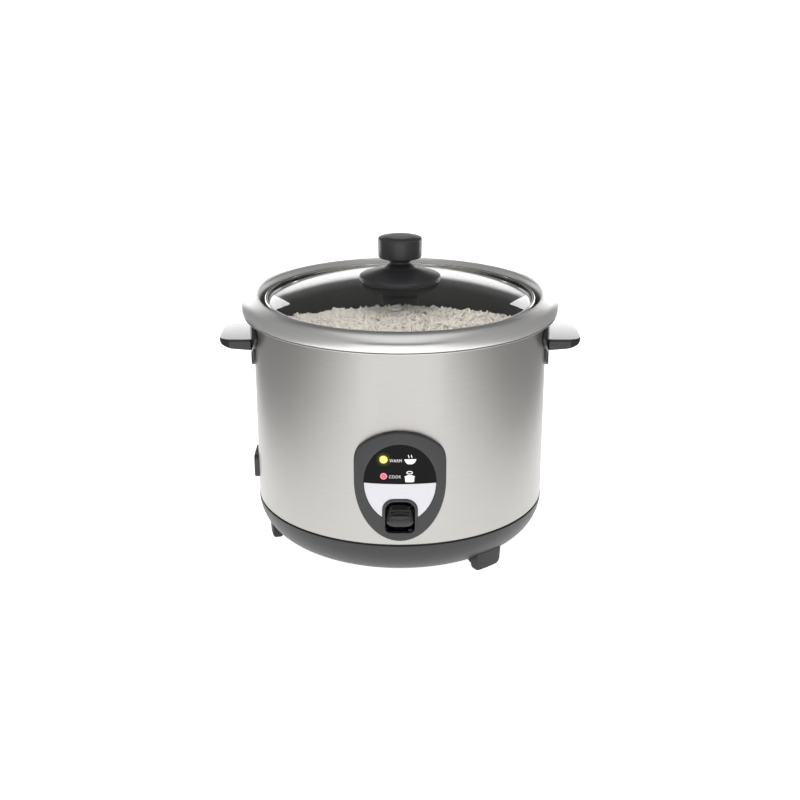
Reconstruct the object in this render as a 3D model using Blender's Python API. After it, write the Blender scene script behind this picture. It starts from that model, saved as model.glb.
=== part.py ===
"""Drum-shaped rice cooker with a glass lid, modelled as separate pieces.

Metres, +Z up. The origin is on the surface the feet stand on, under the middle of the drum.
The control panel faces -Y, the handles point along -X and +X, and the power inlet is at -X.
An azimuth is an angle round the drum, counted from the front (-Y) towards +X.
"""
from math import ceil, acos, cos, degrees, pi, radians, sin, sqrt

import bmesh
import bpy
from mathutils import Vector

# ---------------------------------------------------------------- driving dimensions
GAP = 0.0003              # gap kept between pieces that touch
SEGMENTS = 40             # facets round the large turned pieces
SMALL_SEGMENTS = 10       # facets round screws, pins and lamps
WRAP_STEP = radians(5)    # angle between the facets of plates that lie on the drum

# base
BASE_TOP = 0.0402
BASE_BOTTOM = 0.0048
BASE_OVERHANG = 0.0002    # how far the base stands out past the shell
BASE_ROUND = 0.0390       # width of the bowl's rounded side
BASE_WALL = 0.0025
BASE_LIP_WALL = 0.0023
BASE_LIP_HEIGHT = 0.0068
VENT_SLOTS = 8
VENT_SLOT_WIDTH = 0.004
VENT_SLOT_RADII = (0.030, 0.062)

# outer shell
SHELL_RADIUS = 0.1325
SHELL_WALL = 0.0008
SHELL_HEIGHT = 0.1737
SHELL_FLANGE_WIDTH = 0.0095
SEAM = 0.0016             # open joint between base and shell
SHELL_BOTTOM = BASE_TOP + SEAM
SHELL_TOP = SHELL_BOTTOM + SHELL_HEIGHT
SHELL_FLANGE_RADIUS = SHELL_RADIUS + SHELL_FLANGE_WIDTH
BASE_RADIUS = SHELL_RADIUS + BASE_OVERHANG
BASE_FLAT_RADIUS = BASE_RADIUS - BASE_ROUND

# feet
FOOT_AZIMUTHS = {"foot_front_right": 40, "foot_left": -80, "foot_rear": 160}
FOOT_SETBACK = 0.0087     # from the base's widest place to the foot's outer face
FOOT_DEPTH = 0.0145
FOOT_HALF_ANGLE = radians(6.5)
FOOT_CORNER = 0.004
FOOT_OUTER = BASE_RADIUS - FOOT_SETBACK
FOOT_INNER = FOOT_OUTER - FOOT_DEPTH

# top rim
RIM_WIDTH = 0.0145        # from the crest to the outer face
RIM_WALL = 0.0012
RIM_SKIRT = 0.0054        # height of the upright outer face
RIM_CROWN = 0.0088        # height of the convex part
RIM_SLOPE = 0.0032        # how far the inner wall leans in
RIM_RADIUS = SHELL_FLANGE_RADIUS + 0.0002
RIM_CREST_RADIUS = RIM_RADIUS - RIM_WIDTH
RIM_SEAT_RADIUS = RIM_CREST_RADIUS - RIM_SLOPE
RIM_BOTTOM = SHELL_TOP + GAP * 2
RIM_SHOULDER = RIM_BOTTOM + RIM_SKIRT
RIM_TOP = RIM_SHOULDER + RIM_CROWN

# inner liner
PLATE_RADIUS = 0.0850     # the hot plate that stands on the liner's floor
LINER_WALL = 0.0008
LINER_BOTTOM = 0.0615
LINER_CONE_HEIGHT = 0.0375
PLATE_MARGIN = 0.0130     # flat floor left round the hot plate
LINER_HOLE_RADIUS = 0.0500
LINER_RADIUS = RIM_SEAT_RADIUS - 0.0005
LINER_FLANGE_RADIUS = RIM_RADIUS - RIM_WALL - 0.0006
LINER_CONE_TOP = LINER_BOTTOM + LINER_CONE_HEIGHT

# inner pot
POT_WALL = 0.0015
POT_BOTTOM = 0.0830
POT_CORNER = 0.0160
POT_CLEARANCE = 0.0052    # between the pot's side and the liner
POT_FLANGE_CLEARANCE = 0.0010
POT_RADIUS = LINER_RADIUS - LINER_WALL - POT_CLEARANCE
POT_FLANGE_RADIUS = LINER_RADIUS - LINER_WALL - POT_FLANGE_CLEARANCE
POT_FLANGE_TOP = SHELL_TOP + 0.0030
POT_FOOT_MARGIN = 0.0040  # flat floor left round the pot's corner
LINER_FLAT_RADIUS = max(PLATE_RADIUS + PLATE_MARGIN, POT_RADIUS - POT_CORNER - POT_FOOT_MARGIN)

# lid
GLASS_SPHERE_RADIUS = 0.392
GLASS_WALL = 0.0035
BAND_WALL = 0.0008
BAND_HEIGHT = 0.0090
BAND_LIP_WIDTH = 0.0030
BAND_SEAT_WIDTH = 0.0060
BAND_RADIUS = POT_FLANGE_RADIUS - 0.0002
BAND_TOP = POT_FLANGE_TOP + BAND_HEIGHT
BAND_LIP_RADIUS = BAND_RADIUS - BAND_LIP_WIDTH
BAND_SEAT_RADIUS = BAND_RADIUS - BAND_SEAT_WIDTH
GLASS_EDGE_RADIUS = BAND_RADIUS - BAND_WALL - GAP * 2
GLASS_SEAT = POT_FLANGE_TOP + GAP + BAND_WALL + GAP
GLASS_RISE = GLASS_SPHERE_RADIUS - sqrt((GLASS_SPHERE_RADIUS - GLASS_WALL) ** 2
                                        - GLASS_EDGE_RADIUS ** 2)
GLASS_APEX = GLASS_SEAT + GLASS_RISE
KNOB_FLANGE_RADIUS = 0.0365
KNOB_FLANGE_TOP = 0.0027      # this height and the next four are above the glass
KNOB_NECK_TOP = 0.0150
KNOB_GRIP_BOTTOM = 0.0197
KNOB_GRIP_TOP = 0.0371
KNOB_CROWN_TOP = 0.0384
KNOB_NECK_RADIUS = 0.0094
KNOB_GRIP_RADIUS = 0.0197
KNOB_FLARE = ((0.0250, 0.0060), (0.0148, 0.0095))
KNOB_BORE_DEPTH = 0.014
WASHER_RADIUS = 0.0176
WASHER_WALL = 0.0015
EYELET_PLACE = (-0.004, -0.076)
EYELET_FLANGE_RADIUS = 0.0050
EYELET_TUBE_RADIUS = 0.0033
EYELET_HOLE_RADIUS = 0.0025
EYELET_LIP = 0.0007

# handles
HANDLE_DROP = 0.0228      # from the shell's top down to the grip's top
HANDLE_LENGTH = 0.0297    # from the shell out to the grip's end
HANDLE_HALF_WIDTH = 0.0280
HANDLE_PLATE_WALL = 0.0030
HANDLE_PLATE_DROP = 0.0267
HANDLE_SCREW_SPREAD = 0.0150
HANDLE_TOP = SHELL_TOP - HANDLE_DROP
HANDLE_REACH = SHELL_RADIUS + HANDLE_LENGTH
HANDLE_PLATE_BOTTOM = HANDLE_TOP - HANDLE_PLATE_DROP
HANDLE_PLATE_TOP = SHELL_TOP - 0.0030
HANDLE_SCREW_HEIGHT = HANDLE_TOP - 0.0047

# cook switch: paddle, lever and magnet rod
PADDLE_HALF_WIDTH = 0.0115
PADDLE_BOTTOM = 0.0600
PADDLE_HEIGHT = 0.0190
PADDLE_PROUD = 0.0060
PADDLE_CLEARANCE = 0.0008
PADDLE_TRAVEL = 0.0055    # room under the paddle
PADDLE_TOP = PADDLE_BOTTOM + PADDLE_HEIGHT
PADDLE_NOSE = SHELL_RADIUS + PADDLE_PROUD
PADDLE_BACK = SHELL_RADIUS - 0.0007
PIVOT_HEIGHT = 0.0460
LEVER_ARM = 0.0565        # from the shell back to the pivot
LEVER_SETBACK = 0.0048
PIVOT_BACK = SHELL_RADIUS - LEVER_ARM
PIN_RADIUS = 0.0015
PIN_CLEARANCE = 0.00008
LEVER_HALF_WIDTH = 0.0045
LEVER_WALL = 0.0015
LEVER_FRONT = SHELL_RADIUS - LEVER_SETBACK
LEVER_TAB_TOP = PADDLE_BOTTOM + 0.0080
LEVER_EYE_RADIUS = 0.0070
LEVER_EYE_HOLE_RADIUS = 0.0032
HUB_RADIUS = 0.0035
BRACKET_HALF_GAP = 0.0056
BRACKET_WALL = 0.0012
BRACKET_HALF_LENGTH = 0.0080
ROD_RADIUS = 0.0022
ROD_COLLAR_RADIUS = 0.0045
MAGNET_RADIUS = 0.0068
MAGNET_HEIGHT = 0.0050
MAGNET_DROP = 0.0112      # from the pot's bottom down to the magnet's top

# control panel
PANEL_CENTRE = 0.1000         # height of the panel's widest place
PANEL_HALF_WIDTH = 0.0388
PANEL_DEPTH_BELOW = 0.0535    # from the centre down to the lowest point
PANEL_TOP_RADIUS = 0.0490     # radius of the arc along the top
PANEL_TOP = 0.1460
PANEL_SHOULDER = 0.86         # share of the half width where the top arc ends
PANEL_WALL = 0.0035
PANEL_CHAMFER = 0.0012
LABEL_HALF_WIDTH = 0.0302
LABEL_HALF_HEIGHT = 0.0356
LABEL_CENTRE = 0.0996         # height of the line between the two label plates
LABEL_POCKET = 0.0012
LABEL_WALL = 0.0006
SWITCH_FRAME_WALL = 0.0022
SWITCH_CORNER = 0.0100
SWITCH_WINDOW_HALF_WIDTH = PADDLE_HALF_WIDTH + PADDLE_CLEARANCE
SWITCH_WINDOW_BOTTOM = PADDLE_BOTTOM - PADDLE_TRAVEL
SWITCH_WINDOW_TOP = PADDLE_TOP + 0.0046
SWITCH_FRAME_HALF_WIDTH = SWITCH_WINDOW_HALF_WIDTH + SWITCH_FRAME_WALL
SWITCH_FRAME_TOP = SWITCH_WINDOW_TOP + SWITCH_FRAME_WALL
LAMP_OFFSET = -0.0135         # along the drum, from the panel's middle
WARM_LAMP_HEIGHT = 0.1215
COOK_LAMP_HEIGHT = 0.1065
WARM_LENS_RADIUS = 0.0035
COOK_LENS_RADIUS = 0.0030
LENS_PROUD = 0.0003
LAMP_RADIUS = 0.0025
LAMP_LENGTH = 0.0070
LAMP_INNER_RADIUS = SHELL_RADIUS - LAMP_LENGTH

# hot plate, element and thermostat
PLATE_THICKNESS = 0.0120
PLATE_HOLE_RADIUS = 0.0185
PLATE_BOSS_RADIUS = 0.0060
PLATE_BOSS_PLACE = 0.0680     # distance of the bosses from the axis
MOUNT_AZIMUTHS = (60, 180, 300)
ELEMENT_RING_RADIUS = 0.0580
ELEMENT_TUBE_RADIUS = 0.0040
ELEMENT_OPENING = radians(14)
TERMINAL_PLACE = 0.0400
TERMINAL_BOTTOM = 0.0500
CAP_RADIUS = 0.0165
CAP_WALL = 0.0008
CAP_HEIGHT = 0.0087
SLEEVE_RADIUS = 0.0090
SLEEVE_BORE_RADIUS = 0.0075
SLEEVE_LENGTH = 0.0159
SLEEVE_FLANGE_RADIUS = 0.0240
SLEEVE_FLANGE_WALL = 0.0012
SPRING_RADIUS = 0.0125
SPRING_WIRE_RADIUS = 0.0006
SPRING_TURNS = 4
FUSE_PLACE = 0.0380
FUSE_RADIUS = 0.0022
FUSE_LENGTH = 0.0140

# screws and posts
SCREW_RADIUS = 0.0020
SCREW_HOLE_RADIUS = SCREW_RADIUS + 0.0004
SCREW_HEAD_RADIUS = SCREW_RADIUS + 0.0016
SCREW_HEAD_HEIGHT = 0.0022
POST_RADIUS = SCREW_RADIUS + 0.0025
POST_PLACE = LINER_FLAT_RADIUS - 0.0090

# power inlet
INLET_HEIGHT = 0.0652
INLET_FLANGE_HALF = (0.0156, 0.0116)
INLET_FACE = SHELL_RADIUS + 0.0037
INLET_BODY_HALF = (0.0140, 0.0100)
INLET_CAVITY_HALF = (0.0122, 0.0082)
INLET_BACK = SHELL_RADIUS - 0.0155
INLET_BACK_WALL = 0.0025
PIN_TIP = SHELL_RADIUS - 0.0010
PIN_TAIL = INLET_BACK - 0.0060
PIN_HALF = (0.0010, 0.0020)
PIN_PLACES = {"inlet_pin_line": (-0.0070, -0.0020),
              "inlet_pin_earth": (0.0, 0.0025),
              "inlet_pin_neutral": (0.0070, -0.0020)}
BLOCK_CENTRE = (0.0645 - SHELL_RADIUS, 0.0300)
BLOCK_HALF = (0.0110, 0.0080)
BLOCK_HEIGHT = 0.0095
WIRE_RADIUS = 0.0012

# keep-warm heater
BAND_HEATER_WALL = 0.0012
BAND_HEATER_HEIGHTS = (0.1050, 0.1350)
BAND_HEATER_AZIMUTHS = (60, 120)

# ---------------------------------------------------------------- finishes
# each finish: base colour (linear), roughness, metallic
BRUSHED_STEEL = ((0.62, 0.61, 0.60, 1), 0.32, 1.0)
SPUN_ALUMINIUM = ((0.70, 0.70, 0.70, 1), 0.28, 1.0)
ZINC_STEEL = ((0.50, 0.50, 0.48, 1), 0.45, 1.0)
CAST_ALUMINIUM = ((0.55, 0.55, 0.56, 1), 0.55, 1.0)
CHARCOAL_PLASTIC = ((0.065, 0.065, 0.070, 1), 0.45, 0.0)
BLACK_PLASTIC = ((0.015, 0.015, 0.016, 1), 0.25, 0.0)
WHITE_PLASTIC = ((0.75, 0.74, 0.70, 1), 0.5, 0.0)
SILVER_PRINT = ((0.80, 0.80, 0.82, 1), 0.35, 0.6)
BRASS = ((0.75, 0.55, 0.20, 1), 0.35, 1.0)
CLEAR_GLASS = ((0.90, 0.95, 0.94, 1), 0.03, 0.0)
AMBER_LENS = ((0.85, 0.70, 0.05, 1), 0.2, 0.0)
RED_LENS = ((0.75, 0.03, 0.03, 1), 0.2, 0.0)
WIRE_COVER = ((0.60, 0.08, 0.05, 1), 0.5, 0.0)


# ---------------------------------------------------------------- modelling helpers
def clear_scene():
    for obj in list(bpy.data.objects):
        bpy.data.objects.remove(obj)


def material_for(name, finish):
    """A Principled material of the piece's own."""
    colour, roughness, metallic = finish
    material = bpy.data.materials.new(name)
    material.use_nodes = True
    shader = material.node_tree.nodes["Principled BSDF"]
    shader.inputs["Base Color"].default_value = colour
    shader.inputs["Roughness"].default_value = roughness
    shader.inputs["Metallic"].default_value = metallic
    return material


def new_object(name, bm, finish=None):
    """Turn a bmesh into an object in the scene; a cutter has no finish."""
    bmesh.ops.recalc_face_normals(bm, faces=bm.faces[:])
    mesh = bpy.data.meshes.new(name)
    bm.to_mesh(mesh)
    bm.free()
    mesh.shade_smooth()
    mesh.set_sharp_from_angle(angle=radians(30))
    obj = bpy.data.objects.new(name, mesh)
    bpy.context.collection.objects.link(obj)
    if finish:
        mesh.materials.append(material_for(name, finish))
    return obj


def turned(name, profile, finish=None, segments=SEGMENTS):
    """Spin an (r, z) outline round +Z; one that starts and ends on the axis stays open there."""
    bm = bmesh.new()
    verts = [bm.verts.new((r, 0, z)) for r, z in profile]
    edges = [bm.edges.new(pair) for pair in zip(verts, verts[1:])]
    if profile[0][0] or profile[-1][0]:
        edges.append(bm.edges.new((verts[-1], verts[0])))
    bmesh.ops.spin(bm, geom=verts + edges, axis=(0, 0, 1), angle=2 * pi,
                   steps=segments, use_merge=True)
    bmesh.ops.remove_doubles(bm, verts=bm.verts[:], dist=1e-6)
    return new_object(name, bm, finish)


def lofted(name, sections, finish=None):
    """A closed skin through loops of points, capped at both ends."""
    bm = bmesh.new()
    loops = [[bm.verts.new(point) for point in section] for section in sections]
    for first, second in zip(loops, loops[1:]):
        for i, corner in enumerate(first):
            follower = (i + 1) % len(first)
            bm.faces.new((corner, first[follower], second[follower], second[i]))
    bm.faces.new(loops[0])
    bm.faces.new(loops[-1])
    return new_object(name, bm, finish)


def block(name, low, high, finish=None):
    """A box between two corners."""
    corners = [(low[0], low[1]), (high[0], low[1]), (high[0], high[1]), (low[0], high[1])]
    sections = [[(x, y, z) for x, y in corners] for z in (low[2], high[2])]
    return lofted(name, sections, finish)


def rod(name, start, end, radius, finish=None, segments=SMALL_SEGMENTS):
    """A round bar between two points."""
    start = Vector(start)
    length = (Vector(end) - start).length
    bar = turned(name, [(0, 0), (radius, 0), (radius, length), (0, length)], finish, segments)
    aim(bar, start, Vector(end) - start)
    return bar


def aim(obj, place, direction):
    """Put the object's own +Z along a direction, at a place."""
    obj.location = place
    obj.rotation_mode = "QUATERNION"
    obj.rotation_quaternion = Vector(direction).to_track_quat("Z", "Y")


def tube(name, points, radius, finish, resolution=1):
    """A wire or bent tube through points, with filled ends."""
    curve = bpy.data.curves.new(name, "CURVE")
    curve.dimensions = "3D"
    curve.bevel_depth = radius
    curve.bevel_resolution = resolution
    curve.use_fill_caps = True
    spline = curve.splines.new("POLY")
    spline.points.add(len(points) - 1)
    for target, point in zip(spline.points, points):
        target.co = (*point, 1)
    obj = bpy.data.objects.new(name, curve)
    bpy.context.collection.objects.link(obj)
    curve.materials.append(material_for(name, finish))
    return obj


def smooth_path(points, steps=2):
    """Catmull-Rom points through a short list of points."""
    points = [Vector(point) for point in points]
    padded = [2 * points[0] - points[1]] + points + [2 * points[-1] - points[-2]]
    path = []
    for a, b, c, d in zip(padded, padded[1:], padded[2:], padded[3:]):
        for i in range(steps):
            t = i / steps
            path.append(0.5 * (2 * b + (c - a) * t + (2 * a - 5 * b + 4 * c - d) * t * t
                               + (3 * b - a - 3 * c + d) * t * t * t))
    return path + [points[-1]]


def carve(obj, cutter, operation="DIFFERENCE"):
    """Combine an object with a cutter by a Boolean, keep the result and drop the cutter."""
    modifier = obj.modifiers.new("carve", "BOOLEAN")
    modifier.object = cutter
    modifier.operation = operation
    modifier.solver = "EXACT"
    bpy.context.view_layer.update()
    evaluated = obj.evaluated_get(bpy.context.evaluated_depsgraph_get())
    mesh = bpy.data.meshes.new_from_object(evaluated)
    obj.modifiers.remove(modifier)
    obj.data = mesh
    bpy.data.objects.remove(cutter)


def join(obj, other):
    carve(obj, other, "UNION")


def wrap_on_drum(obj, radius=SHELL_RADIUS):
    """Bend a flat piece round the drum: x becomes an arc length and -y a distance from the axis."""
    bm = bmesh.new()
    bm.from_mesh(obj.data)
    step = radius * WRAP_STEP
    count = int(max(abs(vert.co.x) for vert in bm.verts) / step)
    for k in range(-count, count + 1):
        geometry = bm.verts[:] + bm.edges[:] + bm.faces[:]
        bmesh.ops.bisect_plane(bm, geom=geometry, dist=1e-5, plane_co=(k * step, 0, 0),
                               plane_no=(1, 0, 0))
    for vert in bm.verts:
        angle, distance = vert.co.x / radius, -vert.co.y
        vert.co = (distance * sin(angle), -distance * cos(angle), vert.co.z)
    bmesh.ops.triangulate(bm, faces=bm.faces[:])
    bm.to_mesh(obj.data)
    bm.free()


def drum_cutter(low, high):
    """The space of the drum between two heights, finely faceted, to fit pieces against it."""
    radius = SHELL_RADIUS + GAP
    return turned("drum", [(0, low), (radius, low), (radius, high), (0, high)], segments=144)


def flat_plate(name, outline, inner, outer, finish=None, chamfer=0.0):
    """A plate with an (arc, height) outline between two distances from the axis, still flat."""
    sections = [[(x, -inner, z) for x, z in outline], [(x, chamfer - outer, z) for x, z in outline]]
    if chamfer:
        sections.append([(x, -outer, z) for x, z in inset(outline, chamfer)])
    return lofted(name, sections, finish)


def inset(outline, distance):
    """Move an anticlockwise outline inwards."""
    moved = []
    for before, point, after in zip(outline[-1:] + outline, outline, outline[1:] + outline[:1]):
        along = Vector(after) - Vector(before)
        inward = Vector((-along.y, along.x)).normalized()
        moved.append(tuple(Vector(point) + inward * distance))
    return moved


def mirrored(right_half):
    """A closed outline from its right half, which runs from the lowest point to the highest."""
    left_half = [(-x, z) for x, z in reversed(right_half) if x > 0]
    return right_half + left_half


def on_drum(radius, azimuth, height):
    """A point at an azimuth in degrees."""
    angle = radians(azimuth)
    return Vector((radius * sin(angle), -radius * cos(angle), height))


def outward(azimuth):
    return on_drum(1, azimuth, 0)


def arc(centre, radii, start, end, steps):
    """Points on an elliptic arc, angles in degrees from the outline's first axis."""
    points = []
    for i in range(steps + 1):
        angle = radians(start + (end - start) * i / steps)
        points.append((centre[0] + radii[0] * cos(angle), centre[1] + radii[1] * sin(angle)))
    return points


def screw(name, under_head, direction, length):
    """A pan-head screw whose head bears at a point and whose shank runs along a direction."""
    profile = [(0, -SCREW_HEAD_HEIGHT), (SCREW_HEAD_RADIUS * 0.8, -SCREW_HEAD_HEIGHT),
               (SCREW_HEAD_RADIUS, -SCREW_HEAD_HEIGHT / 2), (SCREW_HEAD_RADIUS, 0),
               (SCREW_RADIUS, 0), (SCREW_RADIUS, length), (0, length)]
    piece = turned(name, profile, ZINC_STEEL, SMALL_SEGMENTS)
    aim(piece, under_head, direction)
    return piece


# ---------------------------------------------------------------- shell, base, feet and rim
def outer_shell():
    inner = SHELL_RADIUS - SHELL_WALL
    flange_bottom = SHELL_TOP - SHELL_WALL
    shell = turned("outer_shell", [
        (SHELL_RADIUS, SHELL_BOTTOM), (SHELL_RADIUS, flange_bottom),
        (SHELL_FLANGE_RADIUS, flange_bottom), (SHELL_FLANGE_RADIUS, SHELL_TOP),
        (inner, SHELL_TOP), (inner, SHELL_BOTTOM)], BRUSHED_STEEL)
    near, far = -SHELL_RADIUS - 0.01, -SHELL_RADIUS + 0.02
    side = SWITCH_WINDOW_HALF_WIDTH + 0.001
    carve(shell, block("switch_window", (-side, near, SWITCH_WINDOW_BOTTOM - 0.001),
                       (side, far, SWITCH_WINDOW_TOP + 0.001)))
    lamp_x = SHELL_RADIUS * sin(LAMP_OFFSET / SHELL_RADIUS)
    lamp_side = WARM_LENS_RADIUS + 0.002
    carve(shell, block("lamp_window", (lamp_x - lamp_side, near, COOK_LAMP_HEIGHT - lamp_side),
                       (lamp_x + lamp_side, far, WARM_LAMP_HEIGHT + lamp_side)))
    half_y, half_z = (size + GAP * 2 for size in INLET_BODY_HALF)
    carve(shell, block("inlet_window", (near, -half_y, INLET_HEIGHT - half_z),
                       (far, half_y, INLET_HEIGHT + half_z)))
    for side in (-1, 1):
        for y in (-HANDLE_SCREW_SPREAD, HANDLE_SCREW_SPREAD):
            start = (side * (SHELL_RADIUS - 0.01), y, HANDLE_SCREW_HEIGHT)
            end = (side * (SHELL_RADIUS + 0.01), y, HANDLE_SCREW_HEIGHT)
            carve(shell, rod("screw_hole", start, end, SCREW_HOLE_RADIUS))


def base_curve(shrink_side=0.0, shrink_bottom=0.0, steps=6):
    """The bowl's side from its flat bottom up to its top edge, as (r, z) points."""
    centre = (BASE_FLAT_RADIUS, BASE_TOP)
    radii = (BASE_RADIUS - BASE_FLAT_RADIUS - shrink_side, BASE_TOP - BASE_BOTTOM - shrink_bottom)
    return arc(centre, radii, -90, 0, steps)


def base_housing():
    lip_radius = SHELL_RADIUS - SHELL_WALL - GAP
    lip_top = BASE_TOP + BASE_LIP_HEIGHT
    lip_inner = lip_radius - BASE_LIP_WALL
    outside = base_curve()
    inside = base_curve(BASE_RADIUS - lip_inner, BASE_WALL, 4)
    profile = [(0, BASE_BOTTOM)] + outside + [(lip_radius, BASE_TOP), (lip_radius, lip_top),
                                              (lip_inner, lip_top)]
    profile += inside[::-1] + [(0, BASE_BOTTOM + BASE_WALL)]
    base = turned("base_housing", profile, CHARCOAL_PLASTIC)
    below, above = BASE_BOTTOM - 0.002, BASE_BOTTOM + BASE_WALL + 0.002
    for k in range(VENT_SLOTS):
        half = VENT_SLOT_WIDTH / 2
        slot = block("vent_slot", (-half, VENT_SLOT_RADII[0], below),
                     (half, VENT_SLOT_RADII[1], above))
        slot.rotation_euler.z = 2 * pi * (k + 0.4) / VENT_SLOTS
        carve(base, slot)
    for azimuth in MOUNT_AZIMUTHS:
        carve(base, rod("screw_hole", on_drum(POST_PLACE, azimuth, below),
                        on_drum(POST_PLACE, azimuth, above), SCREW_HOLE_RADIUS))


def bowl_height(radius):
    """Height of the bowl's outside at a distance from the axis."""
    across = (radius - BASE_FLAT_RADIUS) / (BASE_RADIUS - BASE_FLAT_RADIUS)
    return BASE_TOP - (BASE_TOP - BASE_BOTTOM) * sqrt(1 - across * across)


def foot(name, azimuth):
    """An arc-shaped foot under the bowl, its lower corners rounded at both ends."""
    inner, outer = FOOT_INNER, FOOT_OUTER
    steps, rows = 8, 4
    sections = []
    for i in range(steps + 1):
        angle = FOOT_HALF_ANGLE * (2 * i / steps - 1)
        from_end = (FOOT_HALF_ANGLE - abs(angle)) * (inner + outer) / 2
        lift = 0.0
        if from_end < FOOT_CORNER:
            lift = FOOT_CORNER - sqrt(FOOT_CORNER ** 2 - (FOOT_CORNER - from_end) ** 2)
        lift = min(lift, FOOT_CORNER * 0.8)
        profile = [(inner + 0.001, lift), (outer - 0.004, lift), (outer - 0.001, lift + 0.003)]
        for k in range(rows + 1):
            radius = outer - (outer - inner) * k / rows
            profile.append((radius, bowl_height(radius) - GAP * 1.5))
        turn = azimuth + degrees(angle)
        sections.append([on_drum(r, turn, z) for r, z in profile])
    lofted(name, sections, BLACK_PLASTIC)


def top_rim():
    """A rolled ring: an inner wall that slopes in, a convex top and an upright outer face."""
    crest = arc((RIM_CREST_RADIUS, RIM_SHOULDER),
                (RIM_RADIUS - RIM_CREST_RADIUS, RIM_TOP - RIM_SHOULDER), 90, 0, 5)
    inside = arc((RIM_CREST_RADIUS, RIM_SHOULDER),
                 (RIM_RADIUS - RIM_CREST_RADIUS - RIM_WALL, RIM_TOP - RIM_SHOULDER - RIM_WALL),
                 0, 90, 3)
    seat_bottom = SHELL_TOP + GAP + LINER_WALL + GAP
    profile = [(RIM_SEAT_RADIUS, seat_bottom)] + crest + [(RIM_RADIUS, RIM_BOTTOM),
                                                          (RIM_RADIUS - RIM_WALL, RIM_BOTTOM)]
    profile += inside + [(RIM_SEAT_RADIUS + RIM_WALL, seat_bottom)]
    turned("top_rim", profile, SPUN_ALUMINIUM)


# ---------------------------------------------------------------- liner, pot and hot plate
def inner_liner():
    top = SHELL_TOP + GAP + LINER_WALL
    inner = LINER_RADIUS - LINER_WALL
    floor = LINER_BOTTOM + LINER_WALL
    liner = turned("inner_liner", [
        (LINER_HOLE_RADIUS, LINER_BOTTOM), (LINER_FLAT_RADIUS, LINER_BOTTOM),
        (LINER_RADIUS, LINER_CONE_TOP), (LINER_RADIUS, top - LINER_WALL),
        (LINER_FLANGE_RADIUS, top - LINER_WALL), (LINER_FLANGE_RADIUS, top), (inner, top),
        (inner, LINER_CONE_TOP), (LINER_FLAT_RADIUS - LINER_WALL / 2, floor),
        (LINER_HOLE_RADIUS, floor)], ZINC_STEEL)
    for azimuth in MOUNT_AZIMUTHS:
        start = on_drum(PLATE_BOSS_PLACE, azimuth, LINER_BOTTOM - 0.002)
        end = on_drum(PLATE_BOSS_PLACE, azimuth, floor + 0.002)
        carve(liner, rod("screw_hole", start, end, SCREW_HOLE_RADIUS))


def inner_pot():
    inner = POT_RADIUS - POT_WALL
    flange_bottom = POT_FLANGE_TOP - POT_WALL
    corner = (POT_RADIUS - POT_CORNER, POT_BOTTOM + POT_CORNER)
    profile = [(0, POT_BOTTOM)] + arc(corner, (POT_CORNER, POT_CORNER), -90, 0, 4)
    profile += [(POT_RADIUS, flange_bottom), (POT_FLANGE_RADIUS, flange_bottom),
                (POT_FLANGE_RADIUS, POT_FLANGE_TOP), (inner, POT_FLANGE_TOP)]
    profile += arc(corner, (POT_CORNER - POT_WALL, POT_CORNER - POT_WALL), 0, -90, 4)
    profile += [(0, POT_BOTTOM + POT_WALL)]
    turned("inner_pot", profile, SPUN_ALUMINIUM)


def hot_plate():
    top = POT_BOTTOM - GAP
    bottom = top - PLATE_THICKNESS
    plate = turned("hot_plate", [
        (PLATE_HOLE_RADIUS, bottom), (PLATE_RADIUS, bottom), (PLATE_RADIUS, top - 0.003),
        (PLATE_RADIUS - 0.003, top), (PLATE_HOLE_RADIUS, top)], CAST_ALUMINIUM)
    foot_height = LINER_BOTTOM + LINER_WALL + GAP
    for azimuth in MOUNT_AZIMUTHS:
        low = on_drum(PLATE_BOSS_PLACE, azimuth, foot_height)
        join(plate, rod("boss", low, on_drum(PLATE_BOSS_PLACE, azimuth, bottom + 0.002),
                        PLATE_BOSS_RADIUS))
        below = low - Vector((0, 0, 0.001))
        end = on_drum(PLATE_BOSS_PLACE, azimuth, foot_height + 0.0124)
        carve(plate, rod("screw_hole", below, end, SCREW_HOLE_RADIUS))


def hot_plate_screws():
    for number, azimuth in enumerate(MOUNT_AZIMUTHS, 1):
        place = on_drum(PLATE_BOSS_PLACE, azimuth, LINER_BOTTOM - GAP)
        screw(f"hot_plate_screw_{number}", place, (0, 0, 1), 0.012)


def heating_element():
    """A tubular ring under the hot plate whose two ends turn inwards and down."""
    height = POT_BOTTOM - GAP - PLATE_THICKNESS - GAP - ELEMENT_TUBE_RADIUS
    steps = 24
    ring = []
    for i in range(steps + 1):
        angle = pi + ELEMENT_OPENING + (2 * pi - 2 * ELEMENT_OPENING) * i / steps
        ring.append((ELEMENT_RING_RADIUS * cos(angle), ELEMENT_RING_RADIUS * sin(angle), height))
    ends = []
    for side in (-1, 1):
        y = side * 0.010
        ends.append([(-TERMINAL_PLACE, y, TERMINAL_BOTTOM),
                     (-TERMINAL_PLACE, y, height - 0.008),
                     (-TERMINAL_PLACE - 0.0035, y, height - 0.0015),
                     (-TERMINAL_PLACE - 0.009, y * 1.1, height)])
    path = ends[0] + ring + ends[1][::-1]
    tube("heating_element", path, ELEMENT_TUBE_RADIUS, CAST_ALUMINIUM)


def thermal_fuse():
    height = POT_BOTTOM - GAP - PLATE_THICKNESS - GAP - FUSE_RADIUS
    rod("thermal_fuse", (FUSE_PLACE, -FUSE_LENGTH / 2, height),
        (FUSE_PLACE, FUSE_LENGTH / 2, height), FUSE_RADIUS, BRASS)


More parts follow.
